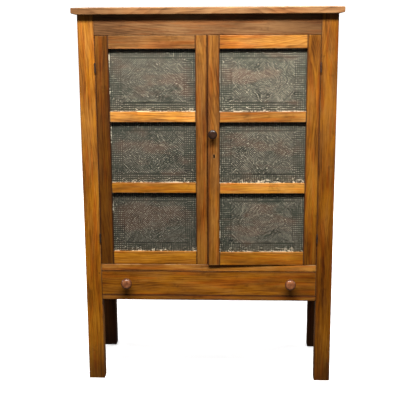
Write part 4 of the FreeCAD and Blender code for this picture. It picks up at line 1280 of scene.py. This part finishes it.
@dataclass
class PunchedTin:
    """One sheet of tin, punched outwards from behind: a skin with open craters, and its back behind it.

    Lengths are in millimetres. The buckle is a wave across the sheet that fades towards its edges.
    """

    width: float = 355.6
    height: float = 254.0
    thickness: float = 0.5
    crater_height: float = 1.25
    shoulder: float = 0.5
    edge_step: float = 12.0
    corners: int = 8
    shoulder_ring: tuple[float, float] = (0.80, 0.76)
    lip_ring: tuple[float, float] = (0.34, 0.28)
    rise_range: tuple[float, float] = (0.7, 1.1)
    bulge: float = 0.9
    bulge_half: tuple[float, float] = (163.0, 117.0)
    waves: tuple[float, float, float] = (41.0, 33.0, 19.0)

    def mesh(self, name: str, centre: np.ndarray, seed: int, shade: float, swing: Swing) -> bpy.types.Mesh:
        """Builds the sheet.

        The flat part is a Delaunay triangulation between the craters' feet. Each crater is two rings inside
        its foot, the shoulder and the open lip. A point's height is its crater's rise plus the buckle.

        Args:
            name: the mesh's name.
            centre: the middle of the sheet's front, in metres, on the closed door.
            seed: picks this sheet's small unevenness.
            shade: how light the sheet is.
            swing: how far the door stands open at rest.

        Returns:
            The mesh.
        """
        centres, sizes, angles = PunchPattern(seed=seed).punches()
        rng = np.random.default_rng(seed + 100)
        count, k = len(centres), self.corners
        turn = 2 * np.pi * (np.arange(k) + 0.5) / k
        unit = np.column_stack([np.cos(turn), np.sin(turn)])
        cos, sin = np.cos(angles)[:, None], np.sin(angles)[:, None]

        def ring(share_long: float, share_wide: float) -> np.ndarray:
            """The places of one ring of every crater."""
            long_side = sizes[:, :1] * unit[None, :, 0] * share_long
            wide_side = sizes[:, 1:] * unit[None, :, 1] * share_wide
            x = centres[:, :1] + cos * long_side - sin * wide_side
            z = centres[:, 1:] + sin * long_side + cos * wide_side
            return np.stack([x, z], axis=-1).reshape(-1, 2)

        edge = self._edge_points()
        border = len(edge)
        flat = np.vstack([edge, ring(1.0, 1.0), ring(*self.shoulder_ring), ring(*self.lip_ring)])
        foot, shoulder, lip = border + np.arange(3 * count * k).reshape(3, count, k)
        owner = np.concatenate([np.full(border, -1), np.repeat(np.arange(count), k)])
        plate = self._plate(flat[: border + count * k], owner, foot)

        tall = np.repeat(rng.uniform(*self.rise_range, count), k) * self.crater_height
        rise = np.concatenate([np.zeros(border + count * k), tall * self.shoulder, tall])
        buckle = self._buckle(flat, seed)
        front = np.column_stack([flat[:, 0], -(rise + buckle), flat[:, 1]])
        back = front + [0.0, self.thickness, 0.0]
        points = np.vstack([front, back]) * MM + centre
        total = len(flat)

        ahead = np.roll(np.arange(k), -1)
        bands = [
            np.stack([a, a[:, ahead], b[:, ahead], b], axis=-1).reshape(-1, 4)
            for a, b in ((foot, shoulder), (shoulder, lip))
        ]
        craters = np.vstack(bands)
        walls = np.stack([lip, lip[:, ahead], lip[:, ahead] + total, lip + total], axis=-1).reshape(-1, 4)
        rim = np.arange(border)
        after = np.roll(rim, -1)
        sides = np.column_stack([after, rim, rim + total, after + total])
        quads = np.vstack([craters, craters[:, ::-1] + total, walls, sides])
        triangles = np.vstack([plate, plate[:, ::-1] + total])

        mesh = bpy.data.meshes.new(name)
        mesh.from_pydata(swing.opened(points).tolist(), [], triangles.tolist() + quads.tolist())
        smooth = np.zeros(len(triangles) + len(quads), dtype=bool)
        smooth[len(triangles) : len(triangles) + 2 * len(craters)] = True
        mesh.polygons.foreach_set("use_smooth", smooth)
        level = np.zeros(total)
        level[shoulder], level[lip] = self.shoulder, 1.0
        luck = np.repeat(rng.uniform(0.0, 1.0, count) ** 2, k)
        polish = np.concatenate([np.zeros(border), luck, luck, luck])
        both = np.tile(flat, (2, 1)) * MM
        put_attribute(mesh, "sheet", np.column_stack([both, np.full(len(both), seed * 3.7)]))
        punch = np.column_stack([level, np.full(total, shade), polish])
        put_attribute(mesh, "punch", np.tile(punch, (2, 1)))
        return mesh

    def _edge_points(self) -> np.ndarray:
        """Places round the sheet's edge, anticlockwise as seen from the front."""
        half_x, half_z = self.width / 2, self.height / 2
        x = np.linspace(-half_x, half_x, round(self.width / self.edge_step) + 1)
        z = np.linspace(-half_z, half_z, round(self.height / self.edge_step) + 1)
        low = np.column_stack([x[:-1], np.full(len(x) - 1, -half_z)])
        right = np.column_stack([np.full(len(z) - 1, half_x), z[:-1]])
        return np.vstack([low, right, -low, -right])

    @staticmethod
    def _plate(flat: np.ndarray, owner: np.ndarray, foot: np.ndarray) -> np.ndarray:
        """Triangulates the sheet between the craters.

        Args:
            flat: the edge's places, then the craters' feet.
            owner: each place's crater, or -1.
            foot: vertex numbers of each crater's foot.

        Returns:
            Triangles of vertex numbers, anticlockwise as seen from the front.
        """
        loops = np.stack([foot, np.roll(foot, -1, axis=1)], axis=-1).reshape(-1, 2)
        places, _, faces, originals, _, _ = delaunay_2d_cdt(
            [Vector(p) for p in flat.tolist()], loops.tolist(), [], 0, 1e-5, True
        )
        number = np.array([first[0] if first else -1 for first in originals])
        triangles = number[np.array([list(face) for face in faces])]
        triangles = triangles[(triangles >= 0).all(axis=1)]
        a, b, c = (owner[triangles[:, i]] for i in range(3))
        triangles = triangles[~((a == b) & (b == c) & (a >= 0))]
        p, q, r = (flat[triangles[:, i]] for i in range(3))
        area = (q[:, 0] - p[:, 0]) * (r[:, 1] - p[:, 1]) - (q[:, 1] - p[:, 1]) * (r[:, 0] - p[:, 0])
        triangles[area < 0] = triangles[area < 0][:, ::-1]
        return triangles

    def _buckle(self, flat: np.ndarray, seed: int) -> np.ndarray:
        """The slow unevenness of hand-worked sheet: two waves, faded out towards the edges."""
        x, z = flat[:, 0], flat[:, 1]
        inner_x = np.clip(1 - (np.abs(x) / self.bulge_half[0]) ** 4, 0, 1)
        inner_z = np.clip(1 - (np.abs(z) / self.bulge_half[1]) ** 4, 0, 1)
        slow = np.sin(x / self.waves[0] + seed * 1.7) * np.cos(z / self.waves[1] + seed)
        quick = np.sin((x + z) / self.waves[2] + seed * 2.3)
        return self.bulge * inner_x * inner_z * (0.5 + 0.3 * slow + 0.2 * quick)


# The sub-assemblies


@dataclass
class Case:
    """The posts, rails, panels, top, back, shelves and the fixed hinge leaves."""

    frame: dict
    finish: bpy.types.Material
    inner: bpy.types.Material
    iron: bpy.types.Material
    tenon: float = 30 * MM
    shelf_arris: float = 0.8 * MM
    nail_inset: tuple[float, float] = (6 * MM, 32 * MM)

    def outside(self) -> list[Board]:
        """The boards that show from outside, each with its own tone."""
        post, rail, t = Lay.POST, Lay.RAIL, self.tenon
        left, right = ((0.4, 1.0), (0.65, 0.86), (0.8, 1.0)), ((0.1, 1.05), (0.3, 0.85), (0.6, 1.0))
        # The rear posts turn much darker below the case: painted shade of the case above them.
        rear, top = ((0.26, 0.42), (0.32, 1.0)), ((0.15, 0.78), (0.35, 1.05), (0.65, 1.15))
        top_rail = ((0.03, 0.75), (0.2, 1.0), (0.7, 1.0), (0.95, 0.6))
        return [
            Board("front_left_post", post, 0.82, 1.0, 1.9, 2.2 * MM, 0.35, edge_dirt=0.3, drift=left),
            Board("front_right_post", post, 0.56, 1.0, 2.2, 2.2 * MM, 0.3, edge_dirt=0.3, drift=right),
            Board("rear_left_post", post, 0.45, 0.9, 3.1, 2.0 * MM, 0.1, drift=rear),
            Board("rear_right_post", post, 0.45, 0.9, 4.7, 2.0 * MM, 0.1, drift=rear),
            Board("top_board", Lay.SHELF, 0.82, 0.15, 5.2, 2.6 * MM, 0.8, drift=top),
            Board("front_top_rail", rail, 0.59, 0.0, 6.4, 1.0 * MM, 0.2, t, 0.5, drift=top_rail),
            Board("front_middle_rail", rail, 1.08, 0.70, 7.9, 2.0 * MM, 0.9, t, 0.6, edge_dirt=0.3),
            Board("front_bottom_rail", rail, 0.66, 0.75, 8.3, 1.6 * MM, 0.25, t, 0.6, edge_dirt=0.9),
            Board("left_side_top_rail", Lay.SIDE_RAIL, 0.75, 0.6, 9.6, 1.0 * MM, 0.3, t, 0.5),
            Board("right_side_top_rail", Lay.SIDE_RAIL, 0.75, 0.6, 10.2, 1.0 * MM, 0.3, t, 0.5),
            Board("left_side_bottom_rail", Lay.SIDE_RAIL, 0.6, 0.7, 11.5, 1.4 * MM, 0.5, t, 0.5),
            Board("right_side_bottom_rail", Lay.SIDE_RAIL, 0.6, 0.7, 12.8, 1.4 * MM, 0.5, t, 0.5),
            Board("left_side_panel", Lay.SIDE_PANEL, 0.72, 0.7, 13.4, 0.8 * MM, 0.0),
            Board("right_side_panel", Lay.SIDE_PANEL, 0.72, 0.7, 14.9, 0.8 * MM, 0.0),
        ]

    def inside(self) -> list[Board]:
        """The back, the shelves and the drawer's runners."""
        shelf, thin = Lay.SHELF, self.shelf_arris
        return [
            Board("rear_top_rail", Lay.RAIL, 0.75, 0.40, 15.3, 1.0 * MM, 0.2, self.tenon, 0.5),
            Board("rear_bottom_rail", Lay.RAIL, 0.60, 0.35, 16.1, 1.0 * MM, 0.2, self.tenon, 0.5),
            Board("back_boards", Lay.RAIL, 0.80, 0.50, 17.7, 0.9 * MM, 0.15, spread=0.16, swell=0.37 * MM),
            Board("cupboard_floor", shelf, 0.85, 0.55, 18.2, thin, 0.3),
            Board("lower_shelf", shelf, 0.95, 0.60, 19.8, thin, 0.5),
            Board("upper_shelf", shelf, 1.00, 0.50, 20.6, thin, 0.5),
            Board("shelf_cleats", Lay.SIDE_RAIL, 0.80, 0.40, 21.1, thin, 0.3, spread=0.1),
            Board("drawer_runners", Lay.SIDE_RAIL, 0.80, 0.40, 22.9, thin, 0.3, spread=0.1),
            Board("drawer_kickers", Lay.SIDE_RAIL, 0.80, 0.40, 23.5, thin, 0.3, spread=0.1),
        ]

    def build(self) -> None:
        """Dresses every board of the case, and the fixed hinge leaves."""
        for board in self.outside():
            board.dress(self.frame, self.finish)
        pieces = {board.node: board.dress(self.frame, self.inner) for board in self.inside()}
        boxes = solid_boxes(pieces["back_boards"])
        nails = [near_corners(low, high, high[1], self.nail_inset) for low, high in boxes]
        NAIL.piece("back_board_nails", np.vstack(nails), self.iron, "case")
        dress_iron(self.frame, self.iron, "hinge_post_leaves")


def dress_iron(frame: dict, finish: bpy.types.Material, *nodes: str) -> None:
    """Gives packed iron parts their finish.

    Args:
        frame: the loaded frame.
        finish: the iron's material.
        nodes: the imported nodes.
    """
    for name in nodes:
        node = frame["nodes"][name]
        node.data.materials.clear()
        node.data.materials.append(finish)
        LOG.info("%s keeps its packed mesh", name)


@dataclass
class Door:
    """A framed door with three punched tins, its strips and its hinge leaves."""

    frame: dict
    side: str
    finish: bpy.types.Material
    inner: bpy.types.Material
    tin: bpy.types.Material
    iron: bpy.types.Material
    tones: dict[str, tuple[float, float]]
    tin_shades: tuple[float, float, float]
    seed: float = 1.0
    tenon: float = 28 * MM
    strip_widths: tuple[float, float] = (11.8 * MM, 7.25 * MM)
    keyhole: tuple[float, float, float] | None = None
    hinge_drift: tuple[tuple[float, float], ...] = ((0.0, 1.0),)

    @property
    def body(self) -> str:
        """The body that the door's pieces ride on."""
        return f"{self.side}_door"

    @property
    def swing(self) -> Swing:
        """How far the door stands open at rest."""
        return swing_of(self.frame, f"{self.side}_door_hinge")

    def boards(self) -> list[Board]:
        """The door's two stiles and four rails."""
        found = []
        for number, (part, (shade, warmth)) in enumerate(self.tones.items()):
            stile = part.endswith("stile")
            lay, seed = Lay.POST if stile else Lay.RAIL, self.seed + number * 1.37
            board = Board(f"{self.body}_{part}", lay, shade, warmth, seed, 1.1 * MM, 0.45)
            board.edge_dirt = 0.85 if stile else 0.25
            if not stile:
                board.tenon, board.end_dirt = self.tenon, 0.75
            if part == "hinge_stile":
                board.drift = self.hinge_drift
            if self.keyhole and part == "meeting_stile":
                board.keyhole = self.keyhole
            found.append(board)
        return found

    def build(self) -> None:
        """Dresses the frame, punches the tins, and dresses the strips and the iron."""
        for board in self.boards():
            board.dress(self.frame, self.finish, self.swing)
        strips = Board(f"{self.body}_tin_strips", Lay.RAIL, 0.75, 0.4, self.seed + 9, 0.7 * MM, 0.2)
        boxes = solid_boxes(strips.dress(self.frame, self.inner, self.swing), self.swing)
        tacks = np.vstack([round_frame(low, high, self.strip_widths) for low, high in boxes])
        TACK.piece(f"{self.body}_tin_tacks", tacks, self.iron, self.body, self.swing)
        for number, row in enumerate(Row):
            self.punch(row, number)
        dress_iron(self.frame, self.iron, f"{self.body}_hinge_leaves")

    def punch(self, row: Row, number: int) -> None:
        """Makes one tin, in the place of its packed sheet.

        Args:
            row: which of the door's tins.
            number: its number from the bottom.
        """
        node = f"{self.body}_{row.value}_tin"
        points = packed_points(self.frame, node, self.swing)
        low, high = points.min(axis=0), points.max(axis=0)
        centre = (low + high) / 2
        centre[1] = low[1]
        sheet = PunchedTin()
        seed = number + (11 if self.side == "right" else 1)
        mesh = sheet.mesh(f"{node}_sheet", centre, seed, self.tin_shades[number], self.swing)
        new_piece(mesh.name, mesh, self.tin, self.body, node)


@dataclass
class Drawer:
    """The dovetailed drawer and its two knobs."""

    frame: dict
    finish: bpy.types.Material
    inner: bpy.types.Material
    knob_finish: bpy.types.Material
    front_thickness: float = 20 * MM
    knob_shades: tuple[float, float] = (1.0, 1.1)

    def build(self) -> None:
        """Dresses the box and turns its knobs."""
        front = Board("drawer_front", Lay.RAIL, 0.71, 0.90, 31.7, 1.4 * MM, 0.3, edge_dirt=0.6)
        front.drift = ((0.1, 0.84), (0.25, 1.08), (0.75, 1.12), (0.9, 0.84))
        front.dress(self.frame, self.finish)
        sides = [
            Board("drawer_left_side", Lay.SIDE_RAIL, 0.85, 0.5, 32.3, 0.6 * MM, 0.3),
            Board("drawer_right_side", Lay.SIDE_RAIL, 0.85, 0.5, 33.6, 0.6 * MM, 0.3),
            Board("drawer_back", Lay.RAIL, 0.8, 0.5, 34.8, 0.6 * MM, 0.3),
            Board("drawer_bottom", Lay.SHELF, 0.85, 0.5, 35.1, 0.5 * MM, 0.1),
        ]
        for board in sides:
            board.dress(self.frame, self.inner)
        points = packed_points(self.frame, "drawer_knobs")
        knobs = []
        for side, shade in zip((-1, 1), self.knob_shades):
            knobs.append(Knob.over(points[points[:, 0] * side > 0], self.front_thickness, shade))
        knob_piece("drawer_knobs_turned", knobs, self.knob_finish, "drawer", "drawer_knobs")


@dataclass
class Studio:
    """The camera, the lights, and a pale floor that runs up into a pale wall."""

    camera_place: tuple[float, float, float] = (0.1192, -3.5682, 1.5259)
    yaw: float = 2.552
    pitch: float = 12.763
    roll: float = -0.364
    focal_pixels: float = 878.17
    image_pixels: int = 400
    sensor: float = 36.0
    floor_radius: float = 5.5
    bend: float = 1.6
    wall_height: float = 6.0
    backdrop_rounds: int = 64
    glow: tuple[float, float] = (0.38, 0.95)
    fill: float = 0.10

    def camera(self) -> None:
        """Stands the camera: turned left by yaw, down by pitch, and rolled."""
        data = bpy.data.cameras.new("camera")
        data.sensor_width = self.sensor
        data.lens = self.focal_pixels / self.image_pixels * self.sensor
        eye = bpy.data.objects.new("camera", data)
        yaw, pitch, roll = (math.radians(v) for v in (self.yaw, self.pitch, self.roll))
        tilt = Matrix.Rotation(math.pi / 2 - pitch, 4, "X") @ Matrix.Rotation(roll, 4, "Z")
        eye.matrix_world = Matrix.Translation(self.camera_place) @ Matrix.Rotation(yaw, 4, "Z") @ tilt
        bpy.context.scene.collection.objects.link(eye)
        bpy.context.scene.camera = eye

    @staticmethod
    def lamp(
        name: str, place: Colour, target: Colour, size: tuple[float, float], power: float, colour: Colour
    ) -> None:
        """Hangs a soft rectangular light, itself unseen.

        Args:
            name: its name.
            place: where it hangs.
            target: what it points at.
            size: its width and height.
            power: its power in watts.
            colour: its colour.
        """
        data = bpy.data.lights.new(name, "AREA")
        data.shape = "RECTANGLE"
        data.size, data.size_y = size
        data.energy = power
        data.color = colour
        lamp = bpy.data.objects.new(name, data)
        lamp.location = place
        lamp.rotation_euler = (Vector(target) - Vector(place)).to_track_quat("-Z", "Y").to_euler()
        lamp.visible_camera = False
        bpy.context.scene.collection.objects.link(lamp)

    def backdrop(self) -> None:
        """Lays a round floor that bends up into a wall: an outline of radius and height, swept round Z.

        The paper glows white away from the middle, and throws no light back on the object.
        """
        turn = np.linspace(0, np.pi / 2, 13)[1:]
        floor = np.linspace(0.05, self.floor_radius, 20)
        curve = self.floor_radius + self.bend * np.sin(turn)
        radius = np.concatenate([floor, curve, curve[-1:]])
        height = np.concatenate([np.zeros(len(floor)), self.bend * (1 - np.cos(turn)), [self.wall_height]])
        rounds = self.backdrop_rounds
        angle = np.linspace(0, 2 * np.pi, rounds, endpoint=False)
        r, a = np.meshgrid(radius, angle, indexing="ij")
        points = np.stack([r * np.cos(a), r * np.sin(a), np.repeat(height[:, None], rounds, axis=1)], axis=-1)
        faces = swept_faces(len(radius), rounds)[:, ::-1]
        mesh = bpy.data.meshes.new("backdrop")
        mesh.from_pydata(points.reshape(-1, 3).tolist(), [], [list(range(rounds)), *faces.tolist()])
        mesh.polygons.foreach_set("use_smooth", np.ones(len(faces) + 1, dtype=bool))
        s = Shader("backdrop_paper")
        x, y, _ = s.parts(s.place())
        near, far = self.glow
        away = near + s.smooth(s.math("SQRT", x * x + y * y), 0.4, 2.2) * (far - near)
        s.set(Base_Color=(0.93, 0.93, 0.93), Roughness=0.9, Specular_IOR_Level=0.0)
        s.set(Emission_Color=s.joined(away, away, away), Emission_Strength=1.0)
        mesh.materials.append(s.material)
        sheet = bpy.data.objects.new("backdrop", mesh)
        sheet.visible_diffuse = sheet.visible_glossy = sheet.visible_shadow = False
        bpy.context.scene.collection.objects.link(sheet)

    def build(self) -> None:
        """Sets the studio up."""
        self.camera()
        self.backdrop()
        world = bpy.data.worlds.new("studio")
        world.use_nodes = True
        light = world.node_tree.nodes["Background"].inputs
        light["Color"].default_value = (1.0, 1.0, 1.0, 1.0)
        light["Strength"].default_value = self.fill
        bpy.context.scene.world = world
        white = (1.0, 1.0, 1.0)
        self.lamp("key", (0.05, -1.75, 3.4), (0.0, -0.2, 0.85), (3.2, 0.5), 235.0, (1.0, 0.98, 0.95))
        self.lamp("behind", (0.0, 3.0, 2.7), (0.0, 0.2, 0.2), (4.0, 2.0), 120.0, white)
        for side in (-1, 1):
            self.lamp(f"side_{side}", (side * 3.6, 0.9, 1.9), (side * 0.5, 0.1, 0.8), (1.6, 1.6), 60.0, white)
        bpy.context.scene.view_settings.view_transform = "Standard"


def main() -> None:
    """Builds the pie safe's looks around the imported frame."""
    logging.basicConfig(level=logging.INFO, format="%(message)s")
    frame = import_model()
    wood, door_wood, inner = CASE_FINISH.make(), DOOR_FINISH.make(), INNER_FINISH.make()
    tin = TinFinish().make(PunchPattern.sight_width / 2 * MM, PunchPattern.sight_height / 2 * MM)
    knob_finish, iron = KnobFinish().make(), IronFinish().make()

    Studio().build()
    Case(frame, wood, inner, iron).build()
    left_tones = {
        "hinge_stile": (0.29, 1.0), "meeting_stile": (0.62, 0.72), "bottom_rail": (0.94, 1.0),
        "lower_mid_rail": (0.91, 1.0), "upper_mid_rail": (1.58, 0.75), "top_rail": (0.70, 0.40),
    }
    right_tones = {
        "hinge_stile": (0.62, 1.0), "meeting_stile": (0.70, 0.72), "bottom_rail": (0.88, 1.0),
        "lower_mid_rail": (1.18, 0.85), "upper_mid_rail": (0.97, 0.75), "top_rail": (1.10, 0.75),
    }
    left = Door(frame, "left", door_wood, inner, tin, iron, left_tones, (0.61, 0.70, 0.84), 24.3)
    left.hinge_drift = ((0.55, 0.84), (0.85, 1.28))
    left.build()
    right = Door(frame, "right", door_wood, inner, tin, iron, right_tones, (0.82, 0.84, 1.01), 44.9)
    door_knob = Knob.over(packed_points(frame, "door_knob", right.swing), DOOR_THICKNESS, 0.11)
    right.keyhole = (door_knob.x + KEYHOLE_BESIDE_KNOB, door_knob.face, door_knob.z - KEYHOLE_BELOW_KNOB)
    right.build()
    dress_iron(frame, iron, "left_door_bolt_plate", "left_door_bolt", "lock_case", "lock_bolt")
    plates = (("left_door_bolt_plate", left, BOLT_PLATE_THICKNESS), ("lock_case", right, LOCK_THICKNESS))
    for node, door, thickness in plates:
        points = packed_points(frame, node, door.swing)
        low, high = points.min(axis=0), points.max(axis=0)
        screws = near_corners(low, high, low[1] + thickness, SCREW_INSET)
        SCREW.piece(f"{node}_screws", screws, iron, door.body, door.swing)
    knob_piece("door_knob_turned", [door_knob], knob_finish, "right_door", "door_knob", right.swing)
    Drawer(frame, wood, inner, knob_finish).build()


if __name__ == "__main__":
    main()
